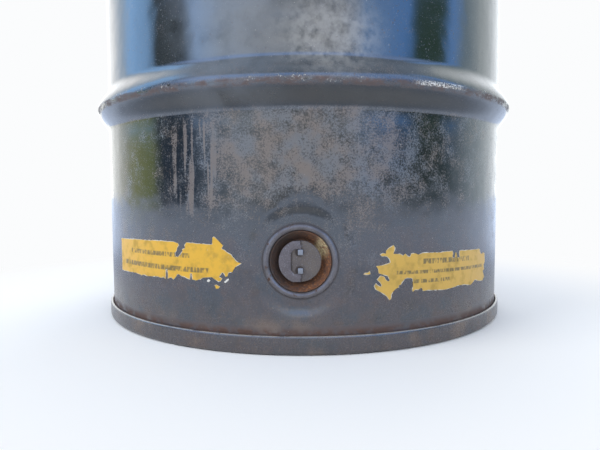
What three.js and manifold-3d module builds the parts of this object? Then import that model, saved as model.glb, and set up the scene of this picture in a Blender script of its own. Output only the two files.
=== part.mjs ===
// A 200-litre tight-head steel drum with a telescopic draw-off tap low in its side.
// Units are millimetres and +Z is up. The origin is the centre of the circle that the bottom rim stands on.
// The tap faces -Y. Sheet parts are revolved from folded sections, so each rim is a true double seam.
import * as THREE from "three";
import { mergeVertices } from "three/addons/utils/BufferGeometryUtils.js";
import Module from "manifold-3d";

const wasm = await Module();
wasm.setup();

// Drum
const drumHeight = 880;
const bodyRadius = 287; // outside of the plain wall
const sheet = 1.2; // steel of the body and both heads
const foldGap = 0.3; // clearance between folded or clamped layers
const facets = 40; // sides of the body and the heads

// Rolling hoops, pressed outwards from the wall
const hoopProjection = 14;
const hoopHalfHeight = 29;
const hoopHeights = [280, 600];
const hoopSteps = 6;

// Double seam that joins the body and a head. Heights run from the rim's edge.
const seamHeight = 20;
const coverHookEnd = 6.5; // tip of the head's hem
const bodyHookEnd = 15.5; // tip of the body's hem

// Heads
const headDepth = 22; // rim's edge to the outside of the head
const headCornerRadius = 6;
const crownMargin = 29; // the filler's inner plate to the raised disc that stiffens the head
const crownRise = 4;
const crownSlope = 9; // width of the crown's sloping edge

// Lap weld along the body, opposite the tap
const weldWidth = 9;
const weldRise = 0.6;

// Flat seat pressed in the wall for the tap
const tapHeight = 97; // base to the tap's axis
const seatDepth = 3.2; // below the front of the wall
const seatMargin = 1.7; // flat round the flange's inner plate
const seatSlope = 10; // width of the seat's sloping edge

// Threaded closures: the large one is G2 and the small one G3/4.
// A thread is a plain cylinder near its pitch radius.
const large = { bore: 29.35, shoulder: 3.05, neckWall: 1.8, bead: 3.4, plate: 13, depth: 16, sides: 20 };
const small = { bore: 13.0, shoulder: 1.6, neckWall: 1.6, bead: 2.2, plate: 10.8, depth: 13, sides: 16 };
const threadGap = 0.6; // between a male thread and its flange
const gasketThickness = 1.5;
const basePlate = 3; // thickness of a flange's inner plate, which reaches spec.plate beyond the neck
const baseSides = 8; // a flange's plate is an octagon, which keeps it from turning
const bungInset = 72; // wall to each bung's axis
const largePlug = { overhang: 1.9, rimThickness: 3, depth: 13, wall: 3.2, floor: 2.4 };
const smallPlug = { overhang: 1.2, rimThickness: 2.6, depth: 10.5, socket: 13, socketDepth: 10 };
const wrenchLug = { width: 8, length: 10, height: 11 };

// Guide bush of the tap
const guideLength = 26; // seat plane to its rear end
const guideGap = 0.4; // round the sliding tube
const guideWall = 5.6;
const cupDepth = 8.5; // seat plane to the floor of the dished front
const cupClearance = 1.5; // round the core's face
const cupLip = 0.7; // width of the flat lip round the dished front
const cupEdge = 0.8; // its inner chamfer
const bushThreadLength = 15;
const sealDepths = [12, 22]; // seat plane to each seal's middle
const sealSection = 1.8;
const sealGap = 0.3;

// Sliding tube and turning core
const spoutRadius = 17;
const spoutWall = 2.6;
const spoutTravel = 70;
const stopRing = { width: 2.2, height: 3, groove: 1, endWall: 2.8 };
const stopClearance = 0.7; // between the stop ring and the guide at full travel
const coreWall = 2.4;
const coreGap = 0.4;
const coreLength = 38; // seat plane to its rear end
const port = { radius: 8, depth: 20 }; // depth runs from the seat plane, with the tap pushed in
const snapRing = { inset: 6, width: 1.4, reach: 0.7 };
const face = { overhang: 4.5, front: -0.4, thickness: 3.8, chamfer: 0.8 }; // overhang is past the tube

// Folding half ring on the tap's face, which turns on two trunnions in square lugs
const halfRing = { thickness: 2.2, overhang: 1, halfHeight: 21.1, trunnion: 1.1, trunnionEnd: 6.2 };
const ringWindow = { depth: 10, halfHeight: 12.9, corner: 4.5 };
const lug = { width: 5.4, height: 5.8, centre: 9.6, rise: 3.8 };
const trunnionGap = 0.35;
const trunnionSides = 8;

// Finishes
const blackPaint = new THREE.MeshStandardMaterial({ color: 0x1d2022, roughness: 0.35, metalness: 0 });
const wornSteel = new THREE.MeshStandardMaterial({ color: 0x5d5a5c, roughness: 0.5, metalness: 0.8 });
const rustySteel = new THREE.MeshStandardMaterial({ color: 0x6b3f22, roughness: 0.85, metalness: 0.2 });
const castAlloy = new THREE.MeshStandardMaterial({ color: 0x5f5c5a, roughness: 0.6, metalness: 0.6 });
const rubber = new THREE.MeshStandardMaterial({ color: 0x18181a, roughness: 0.8, metalness: 0 });

// A closed mesh as a solid that can be joined and cut.
function solid(geometry) {
  const bare = geometry.index ? geometry.toNonIndexed() : geometry.clone();
  bare.deleteAttribute("normal");
  bare.deleteAttribute("uv");
  const merged = mergeVertices(bare, 1e-4);
  const corners = merged.index.array;
  const kept = [];
  for (let i = 0; i < corners.length; i += 3) {
    const [a, b, c] = corners.slice(i, i + 3);
    if (a !== b && b !== c && c !== a) kept.push(a, b, c);
  }
  return new wasm.Manifold(
    new wasm.Mesh({
      numProp: 3,
      vertProperties: merged.attributes.position.array,
      triVerts: new Uint32Array(kept),
    }),
  );
}

function geometryOf(made) {
  const { numProp, numVert, vertProperties, triVerts } = made.getMesh();
  const positions = new Float32Array(numVert * 3);
  for (let i = 0; i < numVert; i++) {
    positions.set(vertProperties.subarray(i * numProp, i * numProp + 3), i * 3);
  }
  return new THREE.BufferGeometry()
    .setAttribute("position", new THREE.BufferAttribute(positions, 3))
    .setIndex(new THREE.BufferAttribute(triVerts, 1));
}

// Revolves an outline of [radius, height] points about Z. An outline off the axis is closed here.
function turned(outline, sides) {
  const points = outline.map(([r, z]) => new THREE.Vector2(r, z));
  if (THREE.ShapeUtils.area(points) < 0) points.reverse();
  if (points.every((p) => p.x > 0)) points.push(points[0].clone());
  return new THREE.LatheGeometry(points, sides).rotateX(Math.PI / 2);
}

function ring(inner, outer, low, high, sides) {
  return turned([[inner, low], [outer, low], [outer, high], [inner, high]], sides);
}

function disc(radius, low, high, sides) {
  return turned([[0, low], [radius, low], [radius, high], [0, high]], sides);
}

function block(width, depth, low, high) {
  return new THREE.BoxGeometry(width, depth, high - low).translate(0, 0, (low + high) / 2);
}

// A closed shape pushed along Z from one height to another.
function plate(shape, low, high) {
  return new THREE.ExtrudeGeometry(shape, { depth: high - low, bevelEnabled: false }).translate(0, 0, low);
}

// A bend as the corners of straight runs that touch its arc, so parallel bends keep their gap.
function bend(centreRadius, centreHeight, radius, from, to, corners) {
  const step = (to - from) / corners;
  const reach = radius / Math.cos(THREE.MathUtils.degToRad(step / 2));
  return Array.from({ length: corners }, (_, i) => {
    const angle = THREE.MathUtils.degToRad(from + step * (i + 0.5));
    return [centreRadius + reach * Math.cos(angle), centreHeight + reach * Math.sin(angle)];
  });
}

// A centreline moved sideways with mitred corners. On a line that runs up, plus is towards the axis.
function offsetLine(line, distance) {
  return line.map(([r, z], i) => {
    const here = new THREE.Vector2(r, z);
    const runs = [];
    if (i > 0) runs.push(here.clone().sub(new THREE.Vector2(...line[i - 1])).normalize());
    if (i < line.length - 1) runs.push(new THREE.Vector2(...line[i + 1]).sub(here).normalize());
    const normals = runs.map((run) => new THREE.Vector2(-run.y, run.x));
    const mitre = new THREE.Vector2().add(normals[0]).add(normals[normals.length - 1]).normalize();
    const reach = distance / mitre.dot(normals[0]);
    return [r + mitre.x * reach, z + mitre.y * reach];
  });
}

// The closed outline of an even sheet along a centreline.
function sheetOutline(line) {
  return [...offsetLine(line, sheet / 2), ...offsetLine(line, -sheet / 2).reverse()];
}

function flip(line) {
  return line.map(([r, z]) => [r, drumHeight - z]);
}

const product = new THREE.Group();

function add(parent, name, shape, material) {
  const mesh = new THREE.Mesh(shape.isBufferGeometry ? shape : geometryOf(shape), material);
  mesh.name = name;
  parent.add(mesh);
}

// Body. From the axis outwards a rim holds the head's wall, the body, the head's hem,
// the body's hem and the head's outer wall.
const layer = sheet + foldGap;
const wallRadius = bodyRadius - sheet / 2; // middle of the wall's thickness
const foldHeight = 2 * layer + sheet / 2; // rim's edge to the centre of its lower bends
const foldRadius = wallRadius + layer; // drum's axis to that centre
const hemCorners = 4;

// The body's lower hem, from its tip round to the foot of the wall.
function bodyHem() {
  return [
    [wallRadius + 2 * layer, bodyHookEnd],
    ...bend(foldRadius, foldHeight, layer, 360, 180, hemCorners),
    [wallRadius, foldHeight + seamHeight / 4],
  ];
}

function hoopLine(centre) {
  return Array.from({ length: hoopSteps + 1 }, (_, i) => {
    const s = (2 * i) / hoopSteps - 1;
    const swell = hoopProjection * Math.cos((Math.PI * s) / 2) ** 2;
    return [wallRadius + swell, centre + s * hoopHalfHeight];
  });
}

// Places a piece modelled along +Z on the tap's seat, so that it points out of the drum.
const seatPlane = bodyRadius - seatDepth;
const seatRadius = plateOf(large) + seatMargin;
const tapFrame = new THREE.Matrix4()
  .makeTranslation(0, -seatPlane, tapHeight)
  .multiply(new THREE.Matrix4().makeRotationX(Math.PI / 2));

// Everything inside one face of the wall, with the tap's flat seat pressed in it.
// behind is how far that face lies behind the outside of the sheet.
function wallForm(behind, foot) {
  const line = [[wallRadius, foot], ...hoopHeights.flatMap(hoopLine), [wallRadius, drumHeight - foot]];
  const column = [[0, foot], ...offsetLine(line, behind - sheet / 2), [0, drumHeight - foot]];
  const angle = Math.atan2(seatDepth, seatSlope);
  const shift = behind * Math.tan(angle / 2);
  const reach = 4 * seatDepth;
  const run = reach / Math.tan(angle);
  const dish = seatRadius + shift;
  const boss = seatRadius - shift;
  const raised = [[0, -behind - reach], [boss + run, -behind - reach], [boss, -behind], [0, -behind]];
  const pressed = [[0, -behind], [dish, -behind], [dish + run, reach - behind], [0, reach - behind]];
  return solid(turned(column, facets))
    .add(solid(turned(raised, facets).applyMatrix4(tapFrame)))
    .subtract(solid(turned(pressed, facets).applyMatrix4(tapFrame)));
}

// Half of the outline that the lap weld covers, pushed across the back of the wall.
function lapWeld() {
  const foot = seamHeight + 1;
  const line = [[wallRadius, foot], ...hoopHeights.flatMap(hoopLine), [wallRadius, drumHeight - foot]];
  const outside = offsetLine(line, -sheet / 2 - weldRise);
  const inside = offsetLine(line, 0).reverse();
  const shape = new THREE.Shape([...outside, ...inside].map(([r, z]) => new THREE.Vector2(r, z)));
  return new THREE.ExtrudeGeometry(shape, { depth: weldWidth, bevelEnabled: false })
    .translate(0, 0, -weldWidth / 2)
    .rotateX(Math.PI / 2)
    .rotateZ(Math.PI / 2);
}

// Radii of a flange: its mouth, the outside of its neck and the corners of its inner plate.
function mouthOf(spec) {
  return spec.bore + spec.shoulder;
}

function neckOf(spec) {
  return mouthOf(spec) + spec.neckWall;
}

function plateOf(spec) {
  return neckOf(spec) + spec.plate;
}

function closureHole(spec, reach) {
  return disc(neckOf(spec) + foldGap, -reach, reach, spec.sides);
}

function drumBody() {
  const hem = bodyHem();
  const lower = turned(sheetOutline(hem), facets);
  const upper = turned(sheetOutline(flip(hem)), facets);
  return wallForm(0, foldHeight)
    .subtract(wallForm(sheet, foldHeight - 1))
    .add(solid(lower))
    .add(solid(upper))
    .add(solid(lapWeld()))
    .subtract(solid(closureHole(large, 5 * sheet).applyMatrix4(tapFrame)));
}

const bungRadius = bodyRadius - bungInset;
const crownRadius = bungRadius - plateOf(large) - crownMargin;

// A head's centreline, from its middle out to the tip of its hem, for the bottom of the drum.
function headLine() {
  const level = headDepth + sheet / 2;
  const innerWall = wallRadius - layer;
  const top = seamHeight - layer - sheet / 2;
  return [
    [0, level + crownRise],
    [crownRadius - crownSlope, level + crownRise],
    [crownRadius, level],
    ...bend(innerWall - headCornerRadius, level - headCornerRadius, headCornerRadius, 90, 0, 2),
    ...bend(foldRadius, foldHeight, 2 * layer, 180, 360, hemCorners),
    ...bend(wallRadius + 2 * layer, top, layer, 0, 180, hemCorners),
    [foldRadius, coverHookEnd],
  ];
}

add(product, "shell", drumBody(), blackPaint);
add(product, "bottom_head", solid(turned(sheetOutline(headLine()), facets)), blackPaint);

const topSheet = drumHeight - headDepth; // outside of the top head
const largeBung = new THREE.Matrix4().makeTranslation(0, -bungRadius, topSheet);
const smallBung = new THREE.Matrix4().makeTranslation(0, bungRadius, topSheet);
const topHead = solid(turned(sheetOutline(flip(headLine())), facets))
  .subtract(solid(closureHole(large, 5 * sheet).applyMatrix4(largeBung)))
  .subtract(solid(closureHole(small, 5 * sheet).applyMatrix4(smallBung)));
add(product, "top_head", topHead, blackPaint);

// Closures. Each is modelled about its own axis, with the outside of the sheet at z = 0.
const clampTop = -sheet - foldGap; // top of the gasket under the sheet
const baseTop = clampTop - gasketThickness - foldGap;
const beadFoot = foldGap;
const shoulderDepth = -6;
const beadCorners = 4;

function plugRim(spec, plug) {
  return mouthOf(spec) + spec.bead + plug.overhang;
}

// A flange: an octagonal plate inside the drum, a neck through the sheet and a rolled bead outside.
function closureFlange(spec) {
  const mouth = mouthOf(spec);
  const neck = neckOf(spec);
  const body = turned(
    [
      [spec.bore, -spec.depth],
      [neck, -spec.depth],
      [neck, beadFoot],
      [mouth + 2 * spec.bead, beadFoot],
      ...bend(mouth + spec.bead, beadFoot, spec.bead, 0, 180, beadCorners),
      [mouth, shoulderDepth],
      [spec.bore, shoulderDepth],
    ],
    spec.sides,
  );
  const base = disc(plateOf(spec), baseTop - basePlate, baseTop, baseSides).rotateZ(Math.PI / baseSides);
  const bore = disc(neck - spec.neckWall / 2, baseTop - 2 * basePlate, baseTop + basePlate, spec.sides);
  return solid(base).subtract(solid(bore)).add(solid(body));
}

function flangeGasket(spec) {
  const outer = plateOf(spec) * Math.cos(Math.PI / baseSides) - 2 * foldGap;
  return ring(neckOf(spec) + foldGap, outer, clampTop - gasketThickness, clampTop, spec.sides);
}

// A plug's gasket lies on the bead, and the plug's rim lies on the gasket.
const plugGasketFoot = (spec) => beadFoot + spec.bead + foldGap;
const plugRimFoot = (spec) => plugGasketFoot(spec) + gasketThickness + foldGap;

function plugGasket(spec, plug) {
  const inner = (spec.bore - threadGap + foldGap) / Math.cos(Math.PI / spec.sides); // clears the turning thread
  const foot = plugGasketFoot(spec);
  return ring(inner, plugRim(spec, plug) - 1, foot, foot + gasketThickness, spec.sides);
}

// The large plug is a pressed cup with two lugs that a bung wrench turns.
function cupPlug(spec, plug) {
  const thread = spec.bore - threadGap;
  const cup = thread - plug.wall;
  const rim = plugRim(spec, plug);
  const top = plugRimFoot(spec) + plug.rimThickness;
  const edge = plug.rimThickness / 3;
  const shape = turned(
    [
      [0, -plug.depth],
      [thread - 1, -plug.depth],
      [thread, 1 - plug.depth],
      [thread, plugRimFoot(spec)],
      [rim, plugRimFoot(spec)],
      [rim, top - edge],
      [rim - edge, top],
      [cup + edge, top],
      [cup, top - edge],
      [cup, plug.floor - plug.depth],
      [0, plug.floor - plug.depth],
    ],
    spec.sides,
  );
  const floor = plug.floor / 2 - plug.depth;
  return [-1, 1].reduce((made, side) => {
    const wrench = block(wrenchLug.length, wrenchLug.width, floor, floor + wrenchLug.height);
    return made.add(solid(wrench.translate(side * (cup - wrenchLug.length / 2 + 1), 0, 0)));
  }, solid(shape));
}

// The small plug is solid with a square socket.
function socketPlug(spec, plug) {
  const thread = spec.bore - threadGap;
  const rim = plugRim(spec, plug);
  const top = plugRimFoot(spec) + plug.rimThickness;
  const edge = plug.rimThickness / 3;
  const shape = turned(
    [
      [0, -plug.depth],
      [thread - 1, -plug.depth],
      [thread, 1 - plug.depth],
      [thread, plugRimFoot(spec)],
      [rim, plugRimFoot(spec)],
      [rim, top - edge],
      [rim - edge, top],
      [0, top],
    ],
    spec.sides,
  );
  return solid(shape).subtract(solid(block(plug.socket, plug.socket, top - plug.socketDepth, top + 1)));
}

function placed(matrix) {
  const group = new THREE.Group();
  group.applyMatrix4(matrix);
  product.add(group);
  return group;
}

const filler = placed(largeBung);
add(filler, "filler_flange", closureFlange(large), wornSteel);
add(filler, "filler_flange_gasket", flangeGasket(large), rubber);
add(filler, "filler_plug_gasket", plugGasket(large, largePlug), rubber);
add(filler, "filler_plug", cupPlug(large, largePlug), wornSteel);

const vent = placed(smallBung);
add(vent, "vent_flange", closureFlange(small), wornSteel);
add(vent, "vent_flange_gasket", flangeGasket(small), rubber);
add(vent, "vent_plug_gasket", plugGasket(small, smallPlug), rubber);
add(vent, "vent_plug", socketPlug(small, smallPlug), wornSteel);

// Tap
const tapSides = large.sides;
const guideBore = spoutRadius + guideGap;
const bushGasketFoot = shoulderDepth + foldGap;
const bushRimFoot = bushGasketFoot + gasketThickness + foldGap;
const bushRimTop = 1;
const bushRim = mouthOf(large) - foldGap;
const bushThread = large.bore - threadGap;
const faceRadius = spoutRadius + face.overhang;
const cupFloorRadius = faceRadius + cupClearance;
const snapDepth = coreLength - snapRing.inset;

// The guide bush screws into the side flange. Its dished front leads down to the bore that guides the tube.
function guideBush() {
  const body = turned(
    [
      [guideBore, -guideLength],
      [guideBore, -cupDepth],
      [cupFloorRadius, -cupDepth],
      [bushRim - cupLip - cupEdge, bushRimTop - cupEdge],
      [bushRim - cupLip, bushRimTop],
      [bushRim, bushRimTop],
      [bushRim, bushRimFoot],
      [bushThread, bushRimFoot],
      [bushThread, -bushThreadLength],
      [guideBore + guideWall, -bushThreadLength - 1.5],
      [guideBore + guideWall, -guideLength],
    ],
    tapSides,
  );
  return sealDepths.reduce((made, depth) => {
    const half = sealSection / 2 + sealGap;
    const outer = spoutRadius + sealSection + 2 * sealGap;
    return made.subtract(solid(ring(spoutRadius, outer, -depth - half, -depth + half, tapSides)));
  }, solid(body));
}

function spoutSeal(depth) {
  const inner = spoutRadius + sealGap;
  return ring(inner, inner + sealSection, -depth - sealSection / 2, -depth + sealSection / 2, tapSides);
}

const faceBack = face.front - face.thickness;
const faceSealFoot = faceBack - foldGap - gasketThickness;
const spoutFront = faceSealFoot - foldGap;
const stopFront = -guideLength - spoutTravel - stopClearance;
const spoutBack = stopFront - stopRing.width - stopRing.endWall;
const spoutBore = spoutRadius - spoutWall;
const coreRadius = spoutBore - coreGap;

// A round hole through one side of a tube, in the direction that its angle about Z gives.
function sidePort(angle) {
  return new THREE.CylinderGeometry(port.radius, port.radius, 2 * spoutRadius, tapSides / 2)
    .translate(0, spoutRadius, 0)
    .rotateZ(angle - Math.PI / 2)
    .translate(0, 0, -port.depth);
}

const downwards = -Math.PI / 2;
const leftwards = Math.PI;

// The sliding tube, with its outlet on the underside.
function spoutTube() {
  const ringGroove = ring(
    spoutRadius - stopRing.groove,
    spoutRadius + 1,
    stopFront - stopRing.width - foldGap,
    stopFront + foldGap,
    tapSides,
  );
  const snapGroove = ring(
    spoutBore - 1,
    spoutBore + snapRing.reach + foldGap,
    -snapDepth - snapRing.width / 2 - foldGap,
    -snapDepth + snapRing.width / 2 + foldGap,
    tapSides,
  );
  return solid(ring(spoutBore, spoutRadius, spoutBack, spoutFront, tapSides))
    .subtract(solid(ringGroove))
    .subtract(solid(snapGroove))
    .subtract(solid(sidePort(downwards)));
}

function spoutStop() {
  const inner = spoutRadius - stopRing.groove + foldGap;
  return ring(inner, spoutRadius + stopRing.height, stopFront - stopRing.width, stopFront, tapSides);
}

const trunnionHeight = face.front + foldGap + halfRing.thickness / 2;

function roundBar(radius, from, to) {
  return new THREE.CylinderGeometry(radius, radius, to - from, trunnionSides)
    .translate(0, (from + to) / 2, 0)
    .translate(0, 0, trunnionHeight);
}

// The core: a face disc with two lugs in front, and behind it a sleeve that opens or shuts the outlet.
function tapCore() {
  const inner = coreRadius - coreWall;
  const body = turned(
    [
      [0, face.front],
      [faceRadius - face.chamfer, face.front],
      [faceRadius, face.front - face.chamfer],
      [faceRadius, faceBack],
      [coreRadius, faceBack],
      [coreRadius, -coreLength],
      [inner, -coreLength],
      [inner, faceBack],
      [0, faceBack],
    ],
    tapSides,
  );
  const groove = ring(
    coreRadius - snapRing.reach - foldGap,
    coreRadius + 1,
    -snapDepth - snapRing.width / 2 - foldGap,
    -snapDepth + snapRing.width / 2 + foldGap,
    tapSides,
  );
  const blank = solid(body).subtract(solid(groove)).subtract(solid(sidePort(leftwards)));
  const drilled = [-1, 1].reduce((made, side) => {
    const ear = block(lug.width, lug.height, face.front - 1, face.front + lug.rise);
    return made.add(solid(ear.translate(0, side * lug.centre, 0)));
  }, blank);
  const hole = halfRing.trunnion + trunnionGap;
  return drilled.subtract(solid(roundBar(hole, -ringWindow.halfHeight, ringWindow.halfHeight)));
}

function coreSnapRing() {
  const low = -snapDepth - snapRing.width / 2;
  return ring(coreRadius - snapRing.reach, spoutBore + snapRing.reach, low, low + snapRing.width, tapSides);
}

// The half ring lies over the left of the face. Its window clears the lugs as it swings.
function pullRing() {
  const { depth, halfHeight, corner } = ringWindow;
  const radius = faceRadius + halfRing.overhang;
  const reach = Math.asin(halfRing.halfHeight / radius);
  const shape = new THREE.Shape()
    .moveTo(0, halfHeight)
    .lineTo(0, halfRing.halfHeight)
    .absarc(0, 0, radius, Math.PI - reach, Math.PI + reach, false)
    .lineTo(0, -halfRing.halfHeight)
    .lineTo(0, -halfHeight)
    .lineTo(corner - depth, -halfHeight)
    .lineTo(-depth, corner - halfHeight)
    .lineTo(-depth, halfHeight - corner)
    .lineTo(corner - depth, halfHeight);
  const half = halfRing.thickness / 2;
  const blank = solid(plate(shape, trunnionHeight - half, trunnionHeight + half));
  return [-1, 1].reduce((made, side) => {
    const ends = [side * halfRing.trunnionEnd, side * (halfHeight + corner)].sort((a, b) => a - b);
    return made.add(solid(roundBar(halfRing.trunnion, ...ends)));
  }, blank);
}

const tap = placed(tapFrame);
add(tap, "tap_flange", closureFlange(large), wornSteel);
add(tap, "tap_flange_gasket", flangeGasket(large), rubber);
add(tap, "tap_guide_bush", guideBush(), rustySteel);
add(tap, "tap_bush_gasket", ring(bushThread + foldGap, bushRim, bushGasketFoot, bushGasketFoot + gasketThickness, tapSides), rubber);
add(tap, "spout_seal_front", spoutSeal(sealDepths[0]), rubber);
add(tap, "spout_seal_rear", spoutSeal(sealDepths[1]), rubber);
add(tap, "spout_tube", spoutTube(), wornSteel);
add(tap, "spout_stop_ring", spoutStop(), wornSteel);
add(tap, "tap_core", tapCore(), castAlloy);
add(tap, "core_face_seal", ring(spoutBore, spoutRadius - foldGap, faceSealFoot, faceSealFoot + gasketThickness, tapSides), rubber);
add(tap, "core_snap_ring", coreSnapRing(), wornSteel);
add(tap, "pull_ring", pullRing(), castAlloy);

export default product;
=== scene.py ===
"""A used 200-litre steel drum with a draw-off tap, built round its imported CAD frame.

Sizes are millimetres in the tables below and metres in Blender. +Z is up and the tap faces -Y.
"""

import math
import random

import bpy
from bpy.props import FloatProperty, FloatVectorProperty, IntProperty, PointerProperty
from bpy.types import Operator, Panel, PropertyGroup
from mathutils import Matrix, Vector


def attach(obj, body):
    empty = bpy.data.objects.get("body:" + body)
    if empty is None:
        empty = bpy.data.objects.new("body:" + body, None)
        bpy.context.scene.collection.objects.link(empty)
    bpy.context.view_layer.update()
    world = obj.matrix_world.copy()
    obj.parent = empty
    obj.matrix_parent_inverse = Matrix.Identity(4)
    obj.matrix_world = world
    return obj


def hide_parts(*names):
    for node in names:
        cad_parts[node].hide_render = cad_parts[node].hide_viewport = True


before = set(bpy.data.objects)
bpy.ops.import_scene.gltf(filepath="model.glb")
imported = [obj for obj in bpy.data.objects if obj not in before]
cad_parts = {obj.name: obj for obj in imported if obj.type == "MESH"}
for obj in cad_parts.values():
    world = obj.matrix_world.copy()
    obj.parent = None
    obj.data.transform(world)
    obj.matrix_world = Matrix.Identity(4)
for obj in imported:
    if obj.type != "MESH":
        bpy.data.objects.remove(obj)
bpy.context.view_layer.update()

bl_info = {
    "name": "Steel drum with a draw-off tap",
    "version": (1, 0, 0),
    "blender": (4, 5, 0),
    "location": "View3D > Sidebar > Drum",
    "description": "Builds a weathered 200-litre drum, its bungs and its tap",
    "category": "Object",
}

MM = 0.001
MERGE = 0.00001  # points closer than 0.01 mm are one point

# Sheet parts, in millimetres. Radii are to the middle of the sheet.
DRUM_HEIGHT = 880
WALL = 286.4
LAYER = 1.5  # one sheet and the gap to the next
FOLD = WALL + LAYER  # centre of the rim's bends
FOLD_RISE = 3.62  # rim's edge to that centre
HOOPS = (280, 600)
HOOP_RISE = 14
HOOP_HALF = 29
HEAD_LEVEL = 22.6
CROWN = 138.8
CROWN_RISE = 4
CROWN_SLOPE = 9

# The tap's seat, and the closures' places
SEAT_PLANE = 283.8
SEAT_RADIUS = 48.9
SEAT_SLOPE = 10
TAP_HEIGHT = 97
BUNG_RADIUS = 215
TOP_SHEET = 858


def to_linear(code, alpha=1.0):
    """The linear colour of an sRGB hex value."""
    shares = [int(code[i : i + 2], 16) / 255 for i in (0, 2, 4)]
    return tuple(s / 12.92 if s <= 0.04045 else ((s + 0.055) / 1.055) ** 2.4 for s in shares) + (alpha,)


def smooth_step(share):
    share = min(1.0, max(0.0, share))
    return share * share * (3 - 2 * share)


def arc(centre_r, centre_z, radius, start, end, steps):
    """Points of a bend in the section, from one angle in degrees to another."""
    angles = [math.radians(start + (end - start) * i / steps) for i in range(steps + 1)]
    return [(centre_r + radius * math.cos(a), centre_z + radius * math.sin(a)) for a in angles]


def spread(start, end, step):
    """Even heights between two ends, both left out."""
    count = max(1, round(abs(end - start) / step))
    return [start + (end - start) * i / count for i in range(1, count)]


def at_drum(r, z, azimuth=0.0):
    """A point in metres. Azimuth is in degrees from the tap's side, which is -Y, towards +X."""
    angle = math.radians(azimuth)
    return Vector((r * math.sin(angle), -r * math.cos(angle), z)) * MM


TAP = Matrix.Translation(Vector((0, -SEAT_PLANE, TAP_HEIGHT)) * MM) @ Matrix.Rotation(math.pi / 2, 4, "X")
FILLER = Matrix.Translation(Vector((0, -BUNG_RADIUS, TOP_SHEET)) * MM)
VENT = Matrix.Translation(Vector((0, BUNG_RADIUS, TOP_SHEET)) * MM)


def start_clean():
    """Leaves nothing selected, in object mode."""
    if bpy.context.object and bpy.context.object.mode != "OBJECT":
        bpy.ops.object.mode_set(mode="OBJECT")
    bpy.ops.object.select_all(action="DESELECT")


def draw_line(name, points, closed=False):
    """Draws an open or closed line of points by extruding one vertex, and stays in edit mode."""
    start_clean()
    bpy.ops.mesh.primitive_plane_add(size=MM, location=(0, 0, 0))
    piece = bpy.context.object
    piece.name = name
    piece.data.name = name
    bpy.ops.object.mode_set(mode="EDIT")
    bpy.ops.mesh.select_mode(type="VERT")
    bpy.ops.mesh.select_all(action="SELECT")
    bpy.ops.mesh.merge(type="CENTER")
    bpy.ops.transform.translate(value=points[0])
    path = [*points, points[0]] if closed else points
    for here, there in zip(path, path[1:]):
        bpy.ops.mesh.extrude_vertices_move(TRANSFORM_OT_translate={"value": there - here})
    bpy.ops.mesh.select_all(action="SELECT")
    if closed:
        bpy.ops.mesh.remove_doubles(threshold=MERGE)
    return piece


def tidy_surface():
    """Merges what meets, turns faces outwards and goes back to object mode."""
    bpy.ops.mesh.select_all(action="SELECT")
    bpy.ops.mesh.remove_doubles(threshold=MERGE)
    bpy.ops.mesh.normals_make_consistent(inside=False)
    bpy.ops.object.mode_set(mode="OBJECT")


def apply_modifier(piece, kind, **settings):
    """Adds one modifier to the piece and applies it."""
    start_clean()
    bpy.context.view_layer.objects.active = piece
    piece.select_set(True)
    modifier = piece.modifiers.new(kind.title(), kind)
    for key, value in settings.items():
        setattr(modifier, key, value)
    bpy.ops.object.modifier_apply(modifier=modifier.name)


def revolve(name, outline, place, sides, closed=True):
    """Spins a section of (radius, height) points in millimetres about its axis and moves it to its place."""
    piece = draw_line(name, [Vector((r, 0, z)) * MM for r, z in outline], closed)
    bpy.ops.mesh.spin(steps=sides, angle=math.tau, center=(0, 0, 0), axis=(0, 0, 1))
    tidy_surface()
    put(piece, place)
    return piece


def put(piece, place):
    """Moves a piece that is where it was drawn to its place, and applies that place to its mesh."""
    start_clean()
    bpy.context.view_layer.update()
    piece.select_set(True)
    bpy.context.view_layer.objects.active = piece
    piece.matrix_world = place @ piece.matrix_world
    bpy.ops.object.transform_apply(location=True, rotation=True, scale=True)


def cut(piece, cutter, operation="DIFFERENCE"):
    """Joins or cuts the piece with another closed one, which is used up."""
    apply_modifier(piece, "BOOLEAN", operation=operation, solver="EXACT", object=cutter)
    bpy.data.objects.remove(cutter)


def round_cutter(radius, low, high, place, sides=96):
    start_clean()
    middle = (low + high) / 2
    bpy.ops.mesh.primitive_cylinder_add(
        vertices=sides, radius=radius * MM, depth=(high - low) * MM, location=(0, 0, middle * MM)
    )
    cutter = bpy.context.object
    put(cutter, place)
    return cutter


def smooth(piece, angle=30):
    start_clean()
    piece.select_set(True)
    bpy.context.view_layer.objects.active = piece
    bpy.ops.object.shade_smooth_by_angle(angle=math.radians(angle))


def flip(outline):
    return [(r, DRUM_HEIGHT - z) for r, z in outline]


def select_points(piece, wanted):
    """Selects the points that a test of their place in millimetres picks, and stays in edit mode."""
    bpy.ops.object.mode_set(mode="EDIT")
    bpy.ops.mesh.select_mode(type="VERT")
    bpy.ops.mesh.select_all(action="DESELECT")
    bpy.ops.object.mode_set(mode="OBJECT")
    for point in piece.data.vertices:
        point.select = wanted(point.co / MM)
    bpy.ops.object.mode_set(mode="EDIT")


def finish_piece(piece, body, slot, finish, *nodes, angle=30):
    """Shades a piece, gives it its finish and says what it rides on and stands for."""
    smooth(piece, angle)
    piece.data.materials.clear()
    piece.data.materials.append(finish)
    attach(piece, body)
    if nodes:
        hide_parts(*nodes)


# Sheet sections


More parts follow.
